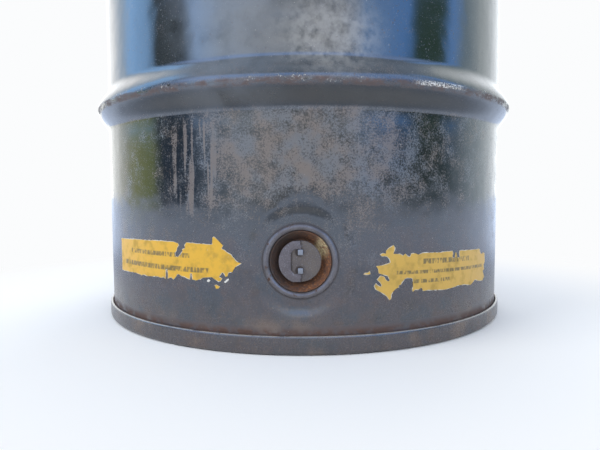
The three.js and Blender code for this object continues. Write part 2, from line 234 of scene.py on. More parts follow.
def body_line(hoop_steps):
    """Middle of the body's sheet, from the tip of the lower hem up to the tip of the upper one."""
    hem = [(WALL + 2 * LAYER, 15.5), (WALL + 2 * LAYER, 9.5), *arc(FOLD, FOLD_RISE, LAYER, 360, 180, 8)]
    lower, upper = HOOPS
    heights = spread(FOLD_RISE, 34, 6) + [34] + spread(34, 154, 1.72) + [154]
    heights += spread(154, lower - HOOP_HALF, 10)
    rows = [(WALL, z) for z in heights] + hoop_line(lower, hoop_steps)
    rows += [(WALL, z) for z in spread(lower + HOOP_HALF, upper - HOOP_HALF, 14)]
    rows += hoop_line(upper, hoop_steps)
    rows += [(WALL, z) for z in spread(upper + HOOP_HALF, DRUM_HEIGHT - FOLD_RISE, 14)]
    return [*hem, *rows, *reversed(flip(hem))]


def hoop_line(centre, steps):
    shares = [2 * i / steps - 1 for i in range(steps + 1)]
    return [
        (WALL + HOOP_RISE * math.cos(math.pi * s / 2) ** 2, centre + s * HOOP_HALF) for s in shares
    ]


def head_line():
    """Middle of a head's sheet for the bottom of the drum, from its centre out to the tip of its hem."""
    ramp = [i / 6 for i in range(7)]
    slope = [(CROWN - CROWN_SLOPE * (1 - s), HEAD_LEVEL + CROWN_RISE * (1 - smooth_step(s))) for s in ramp]
    corner = WALL - LAYER - 6
    return [
        *[(r, HEAD_LEVEL + CROWN_RISE) for r in (0, 45, 90, 118)],
        *slope,
        *[(r, HEAD_LEVEL) for r in (160, 185, 215, 245, 265)],
        *arc(corner, HEAD_LEVEL - 6, 6, 90, 0, 8),
        *arc(FOLD, FOLD_RISE, 2 * LAYER, 180, 360, 14),
        *arc(WALL + 2 * LAYER, 17.9, LAYER, 0, 180, 8),
        (FOLD, 12),
        (FOLD, 6.5),
    ]


# Closures. Heights run from the outside of the sheet, as in a fitting's drawing.

LARGE = {"bore": 29.35, "mouth": 32.4, "neck": 34.2, "bead": 3.4, "plate": 47.2, "depth": 16, "pitch": 2.31}
SMALL = {"bore": 13.0, "mouth": 14.6, "neck": 16.2, "bead": 2.2, "plate": 27.0, "depth": 13, "pitch": 1.81}


def thread_line(root, crest, start, end, pitch):
    """A thread drawn as even rings, each with a flat crest and root."""
    turns = max(1, int(abs(end - start) / pitch))
    step = (end - start) / turns
    line = []
    for turn in range(turns):
        foot = start + turn * step
        line += [
            (root, foot),
            (root, foot + 0.2 * step),
            (crest, foot + 0.5 * step),
            (crest, foot + 0.7 * step),
        ]
    return [*line, (root, end)]


def closure_flange(name, size, place):
    """A flange: an octagonal plate inside the drum, a threaded neck and a rolled bead outside."""
    bore, mouth, neck, bead = size["bore"], size["mouth"], size["neck"], size["bead"]
    outline = [
        (neck, -size["depth"]),
        (neck, 0.3),
        *arc(mouth + bead, 0.3, bead, 0, 180, 18),
        (mouth, -5.6),
        (mouth - 0.4, -6),
        *thread_line(bore, bore + 0.9, -6, -size["depth"], size["pitch"]),
    ]
    piece = revolve(name, outline, Matrix.Identity(4), 128)
    start_clean()
    bpy.ops.mesh.primitive_cylinder_add(
        vertices=8,
        radius=size["plate"] * MM,
        depth=3 * MM,
        location=(0, 0, -4.8 * MM),
        rotation=(0, 0, math.pi / 8),
    )
    plate = bpy.context.object
    put(plate, Matrix.Identity(4))
    bpy.ops.object.mode_set(mode="EDIT")
    bpy.ops.mesh.select_all(action="SELECT")
    bpy.ops.mesh.bevel(offset=0.5 * MM, segments=2)
    bpy.ops.object.mode_set(mode="OBJECT")
    cut(plate, round_cutter(neck - 0.7, -9, -1, Matrix.Identity(4), 128))
    cut(piece, plate, "UNION")
    put(piece, place)
    return piece


def gasket_ring(name, inner, outer, low, high, place):
    edge = 0.25
    outline = [
        (inner, low + edge),
        (inner + edge, low),
        (outer - edge, low),
        (outer, low + edge),
        (outer, high - edge),
        (outer - edge, high),
        (inner + edge, high),
        (inner, high - edge),
    ]
    return revolve(name, outline, place, 96)


def bevelled_block(width, depth, low, high, x, y, bevel):
    """A block with rounded edges, for lugs that are joined to a turned piece."""
    start_clean()
    bpy.ops.mesh.primitive_cube_add(size=1, location=(x * MM, y * MM, (low + high) / 2 * MM))
    block = bpy.context.object
    block.scale = (width * MM, depth * MM, (high - low) * MM)
    put(block, Matrix.Identity(4))
    bpy.ops.object.mode_set(mode="EDIT")
    bpy.ops.mesh.select_all(action="SELECT")
    bpy.ops.mesh.bevel(offset=bevel * MM, segments=3)
    bpy.ops.object.mode_set(mode="OBJECT")
    return block


# Materials


def add_node(tree, kind, links=None, **settings):
    """Adds a node. links maps an input's name or number to a value or to the socket that feeds it."""
    node = tree.nodes.new(kind)
    for name, value in settings.items():
        setattr(node, name, value)
    for key, value in (links or {}).items():
        if isinstance(value, bpy.types.NodeSocket):
            tree.links.new(value, node.inputs[key])
        else:
            node.inputs[key].default_value = value
    return node


def new_finish(name, **shader):
    """An empty material with its surface shader, and the place on the piece in metres as its x, y and z."""
    finish = bpy.data.materials.new(name)
    finish.use_nodes = True
    tree = finish.node_tree
    tree.nodes.clear()
    surface = add_node(tree, "ShaderNodeBsdfPrincipled", shader)
    add_node(tree, "ShaderNodeOutputMaterial", {"Surface": surface.outputs[0]})
    place = add_node(tree, "ShaderNodeTexCoord").outputs["Object"]
    axes = add_node(tree, "ShaderNodeSeparateXYZ", {0: place}).outputs
    return finish, tree, surface, place, axes


def cloud(tree, place, grain, stretch=(1, 1, 1), detail=3, rough=0.55, shift=0.0):
    """A cloudy pattern about 0.5. grain is its size in millimetres, and stretch draws it out."""
    where = add_node(
        tree,
        "ShaderNodeMapping",
        {"Vector": place, "Location": (shift, shift, shift), "Scale": [1 / s for s in stretch]},
    )
    return add_node(
        tree,
        "ShaderNodeTexNoise",
        {"Vector": where.outputs[0], "Scale": 1 / (grain * MM), "Detail": detail, "Roughness": rough},
    ).outputs["Fac"]


def wear(tree, place, grain, least, most, stretch=(1, 1, 1), detail=3, rough=0.55, shift=0.0):
    """A mask of worn or stained patches, cut from a cloudy pattern between two of its levels."""
    return ramp(tree, cloud(tree, place, grain, stretch, detail, rough, shift), least, most)


def ramp(tree, value, start, end, low=0.0, high=1.0):
    """Eases a value from one level to another between two limits."""
    links = {"Value": value, "From Min": start, "From Max": end, "To Min": low, "To Max": high}
    return add_node(tree, "ShaderNodeMapRange", links, interpolation_type="SMOOTHSTEP").outputs[0]


def combine(tree, operation, *values):
    """Joins masks in turn by one sum, such as MULTIPLY, ADD or MAXIMUM."""
    total = values[0]
    for value in values[1:]:
        total = add_node(
            tree,
            "ShaderNodeMath",
            {0: total, 1: value},
            operation=operation,
            use_clamp=True,
        ).outputs[0]
    return total


def coat(tree, under, *layers):
    """Lays colours over each other, each through its own mask."""
    for mask, colour in layers:
        under = add_node(tree, "ShaderNodeMix", {0: mask, 6: under, 7: colour}, data_type="RGBA").outputs[2]
    return under


def level(tree, under, *layers):
    """Lays plain numbers, such as a roughness, over each other in the same way."""
    for mask, value in layers:
        under = add_node(tree, "ShaderNodeMix", {0: mask, 2: under, 3: value}, data_type="FLOAT").outputs[0]
    return under


def relief(tree, surface, *heights):
    """Gives the surface bumps. Each is a height from 0 to 1 and its depth in millimetres."""
    normal = None
    for height, depth in heights:
        links = {"Height": height, "Distance": depth * MM, "Strength": 1.0}
        if normal:
            links["Normal"] = normal
        normal = add_node(tree, "ShaderNodeBump", links).outputs[0]
    tree.links.new(normal, surface.inputs["Normal"])


def from_axis(tree, place):
    """Distance from the drum's axis, in metres."""
    flat = add_node(tree, "ShaderNodeVectorMath", {0: place, 1: (1, 1, 0)}, operation="MULTIPLY")
    return add_node(tree, "ShaderNodeVectorMath", {0: flat.outputs[0]}, operation="LENGTH").outputs["Value"]


def near(tree, place, centre, squeeze, outer, inner):
    """A soft spot round a point in metres. squeeze shortens distances along an axis, or drops it with 0."""
    scaled = add_node(tree, "ShaderNodeVectorMath", {0: place, 1: squeeze}, operation="MULTIPLY").outputs[0]
    middle = tuple(c * q for c, q in zip(centre, squeeze))
    reach = add_node(
        tree,
        "ShaderNodeVectorMath",
        {0: scaled, 1: middle},
        operation="DISTANCE",
    ).outputs["Value"]
    return ramp(tree, reach, outer, inner)


def weathered_enamel(paint):
    """Black stoving enamel on steel sheet, aged outdoors.

    It stays glossy where it is sound and where the hoops shelter it. Chalk and dust lie on the rest as a
    speckled veil, rain draws it out in runs, mud dries on it near the ground, and rust starts at the hoops'
    crests and at the seams, where the coat is thinnest. Some light is painted into the colour as well: a
    sheen above the hoop, a highlight along the bottom fold's edge and a shadow round the tap's bead.
    """
    finish, tree, surface, place, (_, y, z) = new_finish("aged_black_enamel", IOR=1.8)
    radius = from_axis(tree, place)
    facing = add_node(tree, "ShaderNodeTexCoord").outputs["Normal"]
    tilt = add_node(tree, "ShaderNodeSeparateXYZ", {0: facing}).outputs[2]
    sheltered = combine(tree, "MULTIPLY", ramp(tree, tilt, -0.08, -0.3), ramp(tree, radius, 0.2872, 0.2882))
    shoulder = ramp(tree, tilt, 0.08, 0.3)
    front = ramp(tree, y, -0.08, -0.17)

    # Bloom: a stipple of dust grains of 1 to 2 mm. It thickens to a veil at the middle of the wall, and
    # along drips where rain has carried it down.
    drift = wear(tree, place, 90, 0.38, 0.62, detail=4)
    veil = near(tree, place, (0.006, 0, 0.205), (0.48, 0, 1), 0.085, 0.02)
    dark = combine(
        tree,
        "MAXIMUM",
        near(tree, place, (-0.128, 0, 0.2), (1, 0, 0.35), 0.035, 0.015),
        near(tree, place, (0.0, 0, 0.15), (0.35, 0, 1), 0.03, 0.01),
    )
    clear = combine(tree, "MULTIPLY", ramp(tree, z, 0.29, 0.31), ramp(tree, z, 0.57, 0.45), front, 0.9)
    dense = level(tree, 0.33, (drift, 0.5), (veil, 0.72), (dark, 0.34), (clear, 0.12))
    runs = wear(tree, place, 6, 0.5, 0.58, stretch=(1, 1, 22), detail=2, shift=0.3)
    washed = level(
        tree,
        combine(tree, "MULTIPLY", drift, 0.2),
        (near(tree, place, (-0.115, 0, 0.2), (1, 0, 0.5), 0.036, 0.02), 1.0),
    )
    drips = combine(tree, "MULTIPLY", runs, washed, ramp(tree, z, 0.25, 0.236))
    clots = cloud(tree, place, 17, detail=6, rough=0.6)
    grain = cloud(tree, place, 1.7, detail=3, rough=0.65, shift=0.4)
    dots = add_node(
        tree,
        "ShaderNodeMath",
        {0: dense, 1: 0.62, 2: grain},
        operation="MULTIPLY_ADD",
    ).outputs[0]
    dots = add_node(
        tree,
        "ShaderNodeMath",
        {0: clots, 1: 0.75, 2: dots},
        operation="MULTIPLY_ADD",
    ).outputs[0]
    dots = add_node(tree, "ShaderNodeMath", {0: drips, 1: 0.3, 2: dots}, operation="MULTIPLY_ADD").outputs[0]
    bloom = combine(
        tree,
        "MULTIPLY",
        ramp(tree, dots, 1.06, 1.42),
        level(tree, 0.9, (shoulder, 0.45), (sheltered, 0.1)),
    )
    tone = wear(tree, place, 26, 0.38, 0.62, detail=5)
    dust = coat(tree, paint.bloom, (combine(tree, "MAXIMUM", tone, drips), paint.bloom_warm))

    # Chalk above the hoop, where water stands on its shoulder and dries, together with a painted sheen of
    # reflected light there.
    chalk_and_sheen = combine(
        tree,
        "MULTIPLY",
        near(tree, place, (0.03, -0.285, 0.325), (0.8, 1, 1), 0.06, 0.015),
        wear(tree, place, 9, 0.2, 0.7, detail=5),
        0.42,
    )

    # A thin even haze beside the chalk.
    haze = near(tree, place, (-0.075, -0.27, 0.36), (0.9, 0, 0.5), 0.085, 0.02)
    haze = combine(tree, "MULTIPLY", haze, front, wear(tree, place, 40, 0.2, 0.6, detail=5, shift=0.5), 0.45)

    # Mud that has dried to a thin warm film near the ground, with a bluer cast where it is thinnest.
    climb = add_node(tree, "ShaderNodeMath", {0: drift, 1: 0.035, 2: z}, operation="MULTIPLY_ADD").outputs[0]
    mud = combine(
        tree,
        "MULTIPLY",
        ramp(tree, climb, 0.175, 0.085),
        wear(tree, place, 30, 0.1, 0.5, detail=6),
        0.95,
    )
    thin = combine(tree, "MULTIPLY", wear(tree, place, 34, 0.48, 0.64, detail=5, shift=1.1), 0.8)
    ruddy = combine(tree, "MULTIPLY", wear(tree, place, 20, 0.52, 0.66, detail=6, shift=0.9), 0.6)
    splashes = combine(tree, "MULTIPLY", wear(tree, place, 1.5, 0.54, 0.7, detail=2, shift=1.4), 0.55)
    tan = combine(
        tree,
        "MULTIPLY",
        ramp(tree, z, 0.05, 0.024),
        wear(tree, place, 45, 0.5, 0.68, detail=4, shift=0.2),
        0.8,
    )
    mud_colour = coat(
        tree,
        paint.mud,
        (thin, paint.mud_thin),
        (ruddy, paint.mud_ruddy),
        (tan, paint.mud_tan),
        (splashes, paint.mud_tan),
    )
    exposed = level(tree, 1.0, (sheltered, 0.0))
    pale_specks = combine(
        tree,
        "MULTIPLY",
        wear(tree, place, 1.6, 0.74, 0.8, detail=1, shift=2.1),
        exposed,
        0.5,
    )
    rust_specks = combine(tree, "MULTIPLY", wear(tree, place, 1.8, 0.67, 0.72, detail=2, shift=1.7), 0.7)

    # Rust: along the foot of the wall, on the hoops' crests and in chips.
    # The fold's upper edge is painted pale in broken patches: a painted highlight line.
    on_wall = ramp(tree, radius, 0.2886, 0.288)
    foot = combine(
        tree,
        "MULTIPLY",
        ramp(tree, z, 0.0305, 0.023),
        on_wall,
        wear(tree, place, 14, 0.3, 0.55, detail=5),
    )
    fold_highlight = combine(tree, "MULTIPLY", ramp(tree, radius, 0.2884, 0.289), ramp(tree, z, 0.0189, 0.0196))
    fold_highlight = combine(
        tree,
        "MULTIPLY",
        fold_highlight,
        ramp(tree, z, 0.03, 0.025),
        wear(tree, place, 9, 0.25, 0.5, detail=4),
        0.5,
    )
    crest_line = combine(tree, "MULTIPLY", ramp(tree, radius, 0.2986, 0.3003), ramp(tree, tilt, 0.25, -0.02))
    crest = combine(tree, "MULTIPLY", crest_line, wear(tree, place, 16, 0.36, 0.6, (1, 1, 0.5), 7, 0.7), 0.8)
    crust = combine(
        tree,
        "MULTIPLY",
        ramp(tree, radius, 0.3, 0.3007),
        wear(tree, place, 2.4, 0.6, 0.66, detail=3, shift=0.6),
    )
    crust = combine(tree, "MULTIPLY", crust, wear(tree, place, 40, 0.52, 0.64, detail=3, shift=1.3))
    upper = combine(
        tree,
        "MULTIPLY",
        ramp(tree, z, 0.42, 0.7),
        wear(tree, place, 42, 0.56, 0.63, detail=8, rough=0.65, shift=2.4),
        0.85,
    )
    rims = combine(tree, "MULTIPLY", ramp(tree, z, 0.845, 0.868), ramp(tree, radius, 0.275, 0.284))
    rims = combine(
        tree,
        "MULTIPLY",
        rims,
        wear(tree, place, 13, 0.42, 0.55, detail=6, rough=0.65, shift=0.1),
        0.85,
    )
    rust = combine(tree, "MAXIMUM", foot, crest, rust_specks, upper, rims)
    # A white crust has dried in a thin broken line on the crest, to the right of the tap.
    salt = combine(
        tree,
        "MULTIPLY",
        ramp(tree, radius, 0.3005, 0.3009),
        near(tree, place, (0.15, -0.262, 0.281), (1, 1, 0.3), 0.042, 0.02),
        wear(tree, place, 1.3, 0.46, 0.58, detail=2, shift=0.2),
    )
    # Dust settles on the upper sides of the hoops.
    settled = combine(
        tree,
        "MULTIPLY",
        ramp(tree, tilt, 0.1, 0.4),
        wear(tree, place, 12, 0.25, 0.6, detail=6, shift=0.8),
        0.14,
    )
    rust_tone = wear(tree, place, 2.2, 0.52, 0.8, detail=4)
    # A dark ring painted on the seat round the tap's bead: a painted shadow under the bead.
    tap_reach = near(tree, place, (0, 0, TAP_HEIGHT * MM), (1, 0, 1), 0.0418, 0.0395)
    bead_shadow = combine(tree, "MULTIPLY", tap_reach, ramp(tree, y, -0.27, -0.275), 0.75)
    rust_colour = coat(tree, paint.rust, (rust_tone, paint.rust_bright))

    colour = coat(
        tree,
        paint.enamel,
        (haze, paint.bloom_haze),
        (settled, paint.bloom),
        (bloom, dust),
        (mud, mud_colour),
        (chalk_and_sheen, paint.speck_and_highlight),
        (rust, rust_colour),
        (combine(tree, "MAXIMUM", pale_specks, fold_highlight, crust), paint.speck_and_highlight),
        (bead_shadow, paint.dark_rust_and_shade),
        (salt, paint.salt),
    )
    tree.links.new(colour, surface.inputs["Base Color"])
    shine = level(
        tree,
        0.11,
        (bloom, 0.38),
        (mud, 0.28),
        (chalk_and_sheen, 0.4),
        (rust, 0.8),
        (crust, 0.5),
        (bead_shadow, 0.8),
    )
    tree.links.new(shine, surface.inputs["Roughness"])
    ripple = wear(tree, place, 30, 0.2, 0.8, detail=1)
    relief(tree, surface, (ripple, 0.22), (bloom, 0.02), (rust, 0.1), (crust, 0.3))
    return finish


def worn_steel(paint):
    """Pressed, zinc-plated steel, dulled outdoors: a soft metal gloss, faint stains and a little rust."""
    finish, tree, surface, place, _ = new_finish("worn_plated_steel")
    patches = wear(tree, place, 12, 0.35, 0.7, detail=5)
    grit = wear(tree, place, 1.0, 0.35, 0.65, detail=2)
    rust = wear(tree, place, 5, 0.6, 0.68, detail=5, shift=0.9)
    colour = coat(
        tree,
        paint.plated,
        (combine(tree, "MULTIPLY", patches, 0.7), paint.plated_dark),
        (combine(tree, "MULTIPLY", grit, 0.5), paint.plated_dark),
        (rust, paint.rust),
    )
    tree.links.new(colour, surface.inputs["Base Color"])
    tree.links.new(level(tree, 0.36, (patches, 0.48), (rust, 0.85)), surface.inputs["Roughness"])
    tree.links.new(level(tree, 0.45, (rust, 0.0)), surface.inputs["Metallic"])
    relief(tree, surface, (patches, 0.03), (grit, 0.03), (rust, 0.06))
    return finish


def rusted_steel(paint):
    """Turned steel that has lost its plating: flaky brown rust, dull. Its right wall, which faces the light,
    is painted lighter and oranger as a painted lit side, its left stays dark as painted shade, and a pale
    highlight is painted high on the right.
    """
    finish, tree, surface, place, _ = new_finish("rusted_cup_steel", Metallic=0.0)
    # Painted light: the cup is painted lighter and oranger towards its right wall, which faces the light,
    # and its left wall stays dark as painted shade.
    lean = add_node(
        tree,
        "ShaderNodeVectorMath",
        {0: place, 1: (0.95, 0, -0.2)},
        operation="DOT_PRODUCT",
    ).outputs["Value"]
    lit_side = ramp(tree, lean, -0.04, 0.002)
    scale = wear(tree, place, 4, 0.35, 0.65, detail=5, rough=0.65)
    flakes = wear(tree, place, 2.0, 0.52, 0.64, detail=4, shift=0.5)
    # A pale patch painted high on the cup's right wall: a painted highlight.
    painted_highlight = combine(
        tree,
        "MULTIPLY",
        near(tree, place, (0.022, 0, 0.111), (1, 0, 0.6), 0.0095, 0.003),
        wear(tree, place, 2.5, 0.3, 0.6, detail=4, shift=0.8),
        0.85,
    )
    colour = coat(
        tree,
        paint.dark_rust_and_shade,
        (combine(tree, "MULTIPLY", scale, level(tree, 0.35, (lit_side, 1.0))), paint.cup_mid),
        (combine(tree, "MULTIPLY", lit_side, level(tree, 0.35, (scale, 0.9))), paint.cup_lit_rust),
        (combine(tree, "MULTIPLY", flakes, lit_side, 0.8), paint.cup_pale),
        (painted_highlight, paint.cup_highlight),
    )
    tree.links.new(colour, surface.inputs["Base Color"])
    tree.links.new(level(tree, 0.6, (scale, 0.9)), surface.inputs["Roughness"])
    relief(tree, surface, (scale, 0.2), (wear(tree, place, 0.8, 0.35, 0.65), 0.04))
    return finish


def cast_zinc(paint):
    """Die-cast zinc alloy, oxidised to a warm grey: fine sandy grain. The lugs' outer faces are worn shinier
    and also painted lighter and bluer as a highlight, and shade is painted in the slits and corners of the
    face.
    """
    finish, tree, surface, place, (x, y, z) = new_finish("oxidised_cast_zinc")
    film = wear(tree, place, 9, 0.35, 0.65, detail=5)
    sand = wear(tree, place, 1.3, 0.35, 0.65, detail=2)
    grains = wear(tree, place, 1.4, 0.6, 0.7, detail=2, shift=0.6)
    warm = wear(tree, place, 14, 0.42, 0.6, detail=4, shift=0.4)
    # Along y, the ring's face is 285.4 mm from the drum's axis, the lugs' 287 mm and the disc's 283.8 mm.
    plate = ramp(tree, y, -0.2848, -0.2854)
    # The lugs' outer faces: worn shinier, and painted lighter and bluer, a painted highlight.
    rubbed_and_lit = ramp(tree, y, -0.2864, -0.287)
    height = add_node(tree, "ShaderNodeMath", {0: z, 1: TAP_HEIGHT * MM}, operation="SUBTRACT").outputs[0]
    height = add_node(tree, "ShaderNodeMath", {0: height}, operation="ABSOLUTE").outputs[0]
    # Painted shade on the disc's face: dark lines along the slit at the half ring's straight edge and the
    # window's inner edge, and round the lugs' feet. The window's band reaches left under the half ring.
    slit = combine(
        tree,
        "MULTIPLY",
        ramp(tree, x, -0.0004, 0.0),
        ramp(tree, x, 0.0013, 0.0007),
        ramp(tree, height, 0.0125, 0.013),
    )
    corner = combine(
        tree,
        "MULTIPLY",
        ramp(tree, x, -0.0075, -0.0097),
        ramp(tree, height, 0.014, 0.013),
        0.8,
    )
    under_plate = ramp(tree, y, -0.2842, -0.2838)
    lug_foot = combine(
        tree,
        "MAXIMUM",
        near(tree, place, (-0.0012, 0, 0.1066), (1, 0, 1), 0.0052, 0.0038),
        near(tree, place, (-0.0012, 0, 0.0874), (1, 0, 1), 0.0052, 0.0038),
    )
    crevice_shade = combine(tree, "MULTIPLY", combine(tree, "MAXIMUM", slit, corner, lug_foot), under_plate, 0.9)
    colour = coat(
        tree,
        paint.zinc,
        (combine(tree, "MULTIPLY", warm, 0.5), paint.zinc_warm),
        (combine(tree, "MULTIPLY", plate, 0.8), paint.zinc_plate),
        (combine(tree, "MULTIPLY", film, 0.3), paint.zinc_dark),
        (combine(tree, "MULTIPLY", sand, 0.6), paint.zinc_dark),
        (combine(tree, "MULTIPLY", grains, 0.5), paint.zinc_pale_and_lit),
        (crevice_shade, paint.dark_rust_and_shade),
        (combine(tree, "MULTIPLY", rubbed_and_lit, 0.8), paint.zinc_pale_and_lit),
    )
    tree.links.new(colour, surface.inputs["Base Color"])
    tree.links.new(level(tree, 0.5, (film, 0.62), (rubbed_and_lit, 0.32)), surface.inputs["Roughness"])
    tree.links.new(level(tree, 0.25, (rubbed_and_lit, 0.6)), surface.inputs["Metallic"])
    relief(tree, surface, (film, 0.03), (sand, 0.03))
    return finish


def seal_rubber(paint):
    """Moulded nitrile rubber: almost black, with a dull sheen and a little dust."""
    finish, tree, surface, place, _ = new_finish("nitrile_rubber")
    dust = wear(tree, place, 5, 0.45, 0.7, detail=4)
    colour = coat(tree, paint.rubber, (combine(tree, "MULTIPLY", dust, 0.4), paint.bloom_warm))
    tree.links.new(colour, surface.inputs["Base Color"])
    tree.links.new(level(tree, 0.55, (dust, 0.8)), surface.inputs["Roughness"])
    relief(tree, surface, (wear(tree, place, 1.5, 0.4, 0.6), 0.02))
    return finish


def label_film(paint, faded):
    """Printed vinyl film: yellow, with the print worn down to plain dark bars and dirt in its creases."""
    yellow = paint.film_faded if faded else paint.film
    finish, tree, surface, place, (x, _, z) = new_finish("faded_label_film" if faded else "label_film")
    dirt = wear(tree, place, 12, 0.45, 0.7, detail=5)
    scuff = wear(tree, place, 2.2, 0.7, 0.76, detail=4, shift=0.8)
    across = add_node(tree, "ShaderNodeMath", {0: x}, operation="ABSOLUTE").outputs[0]
    rows = ((97.8, 102.8, 121, 205), (82.5, 88, 98, 218))
    line = z
    if faded:
        rows = ((91.3, 97, 133, 197), (80.8, 84.6, 101, 222), (70.6, 74.7, 121, 168))
        line = add_node(
            tree,
            "ShaderNodeMath",
            {0: across, 1: 0.037, 2: z},
            operation="MULTIPLY_ADD",
        ).outputs[0]
        line = add_node(tree, "ShaderNodeMath", {0: line, 1: 0.0037}, operation="SUBTRACT").outputs[0]
    bars = 0.0
    for low, high, start, end in rows:
        bar = combine(
            tree,
            "MULTIPLY",
            ramp(tree, line, (low - 0.5) * MM, (low + 0.5) * MM),
            ramp(tree, line, (high + 0.5) * MM, (high - 0.5) * MM),
            ramp(tree, across, (start - 1) * MM, (start + 1) * MM),
            ramp(tree, across, (end + 1) * MM, (end - 1) * MM),
        )
        bars = combine(tree, "MAXIMUM", bars, bar)
    print_left = combine(tree, "MULTIPLY", bars, wear(tree, place, 2.6, 0.38, 0.56, (1, 1, 3), 4), 0.8)
    colour = coat(
        tree,
        yellow,
        (combine(tree, "MULTIPLY", dirt, 0.5), paint.film_dirt),
        (print_left, paint.print_dark),
        (combine(tree, "MULTIPLY", scuff, 0.7), paint.paper),
    )
    tree.links.new(colour, surface.inputs["Base Color"])
    tree.links.new(level(tree, 0.38, (dirt, 0.6), (scuff, 0.8)), surface.inputs["Roughness"])
    relief(tree, surface, (wear(tree, place, 8, 0.4, 0.6, detail=3), 0.05))
    return finish


def label_paper(paint):
    """The white layer under the film, bare where the label is torn: soft, matt and stained."""
    finish, tree, surface, place, _ = new_finish("torn_label_paper")
    dirt = wear(tree, place, 6, 0.45, 0.75, detail=5)
    colour = coat(tree, paint.paper, (combine(tree, "MULTIPLY", dirt, 0.55), paint.bloom_warm))
    tree.links.new(colour, surface.inputs["Base Color"])
    tree.links.new(level(tree, 0.75, (dirt, 0.9)), surface.inputs["Roughness"])
    relief(tree, surface, (wear(tree, place, 0.8, 0.4, 0.6), 0.03))
    return finish


# Settings that a user would change


class DrumShape(PropertyGroup):
    """Sizes of the visual model that are finer than the CAD."""

    sheet: FloatProperty(
        name="Sheet",
        description="Thickness of the drum's steel",
        default=1.2 * MM,
        min=0.5 * MM,
        max=2 * MM,
        unit="LENGTH",
    )
    waves: FloatProperty(
        name="Waves",
        description="Depth of the waves in the plain wall",
        default=0.7 * MM,
        min=0,
        max=2 * MM,
        unit="LENGTH",
    )
    weld_rise: FloatProperty(
        name="Weld rise",
        description="Height of the lap weld down the back",
        default=0.6 * MM,
        min=0,
        max=1 * MM,
        unit="LENGTH",
    )
    hoop_steps: IntProperty(
        name="Hoop steps",
        description="Bands across each rolling hoop",
        default=28,
        min=8,
        max=60,
    )
    torn: FloatProperty(
        name="Torn edge",
        description="How ragged the labels' edges are",
        default=0.6 * MM,
        min=0,
        max=3 * MM,
        unit="LENGTH",
    )


def tint(name, description, code):
    return FloatVectorProperty(
        name=name,
        description=description,
        subtype="COLOR",
        size=4,
        min=0,
        max=1,
        default=to_linear(code),
    )


class DrumPaint(PropertyGroup):
    """Colours of the finishes."""

    enamel: tint("Enamel", "Sound black enamel", "121619")
    bloom: tint("Bloom", "Chalky bloom on the enamel", "5a5b5e")
    bloom_warm: tint("Warm bloom", "Brownish dust in the bloom", "675a50")
    bloom_haze: tint("Haze", "Thin even haze on the enamel", "7b828c")
    salt: tint("Salt", "White crust on the hoop", "dcdad6")
    mud: tint("Mud", "Dried mud near the ground", "3e393d")
    mud_thin: tint("Thin mud", "Dried mud where the enamel shows through", "2d3640")
    mud_ruddy: tint("Ruddy mud", "Dried mud with rust in it", "4a3a35")
    mud_tan: tint("Tan mud", "Thick dried mud at the foot of the wall", "6a594d")
    # Pale specks, chalk and crust, and also the painted sheen above the hoop and the painted highlight on
    # the fold's edge.
    speck_and_highlight: tint("Speck", "Pale specks, chalk and dried crust", "b4b2ae")
    rust: tint("Rust", "Dark rust", "4c3324")
    rust_bright: tint("Bright rust", "Fresh orange rust", "6e452f")
    plated: tint("Plating", "Dulled zinc plating", "747175")
    plated_dark: tint("Stained plating", "Stains on the plating", "514c4d")
    # Dark rust, and painted shade: the cup's shaded side, the shadow round the tap's bead and the dark lines
    # on the tap's face.
    dark_rust_and_shade: tint("Cup, dark", "Darkest rust in the tap's cup, also painted shade", "3a2f2a")
    cup_mid: tint("Cup, middle", "Main rust in the tap's cup", "5c4130")
    # Painted on the lit side of the cup.
    cup_lit_rust: tint("Cup, bright", "Orange rust painted on the lit side of the tap's cup", "6e4730")
    cup_pale: tint("Cup, pale", "Flaking rust in the tap's cup", "96643e")
    # The colour of the painted highlight in the cup.
    cup_highlight: tint("Cup, cream", "Highlight painted in the tap's cup", "c4b48c")
    zinc: tint("Cast zinc", "Oxidised cast alloy", "6c625b")
    zinc_warm: tint("Stained zinc", "Brown film on the cast alloy", "6f6558")
    zinc_plate: tint("Plate zinc", "The half ring's paler face", "6c666c")
    zinc_dark: tint("Dark zinc", "Stains on the cast alloy", "504b4e")
    # Pale grains in the cast alloy, and the painted highlight on the lugs' outer faces.
    zinc_pale_and_lit: tint("Rubbed zinc", "Cast alloy rubbed bright", "8f939c")
    rubber: tint("Rubber", "Seals and gaskets", "1b1b1d")
    film: tint("Label", "Yellow label film", "d9a932")
    film_faded: tint("Faded label", "Label film faded by the sun", "cda64c")
    film_dirt: tint("Label dirt", "Dirt on the labels", "8f7637")
    print_dark: tint("Print", "What is left of the print", "54503a")
    paper: tint("Paper", "Label backing", "d8d6cf")
    floor: tint("Floor", "Studio floor", "f4f6f8")


finishes = {}


class DrumPiece:
    """What every piece's operator shares."""

    bl_options = {"REGISTER", "UNDO"}

    def execute(self, context):
        self.build(context.scene.drum_shape, context.scene.drum_paint)
        return {"FINISHED"}


class DRUM_OT_finishes(DrumPiece, Operator):
    """Makes the materials that the pieces share"""

    bl_idname = "drum.finishes"
    bl_label = "Finishes"

    def build(self, shape, paint):
        finishes["black_paint"] = weathered_enamel(paint)
        finishes["worn_steel"] = worn_steel(paint)
        finishes["rusty_steel"] = rusted_steel(paint)
        finishes["cast_alloy"] = cast_zinc(paint)
        finishes["rubber"] = seal_rubber(paint)
        finishes["film"] = label_film(paint, False)
        finishes["film_faded"] = label_film(paint, True)
        finishes["paper"] = label_paper(paint)


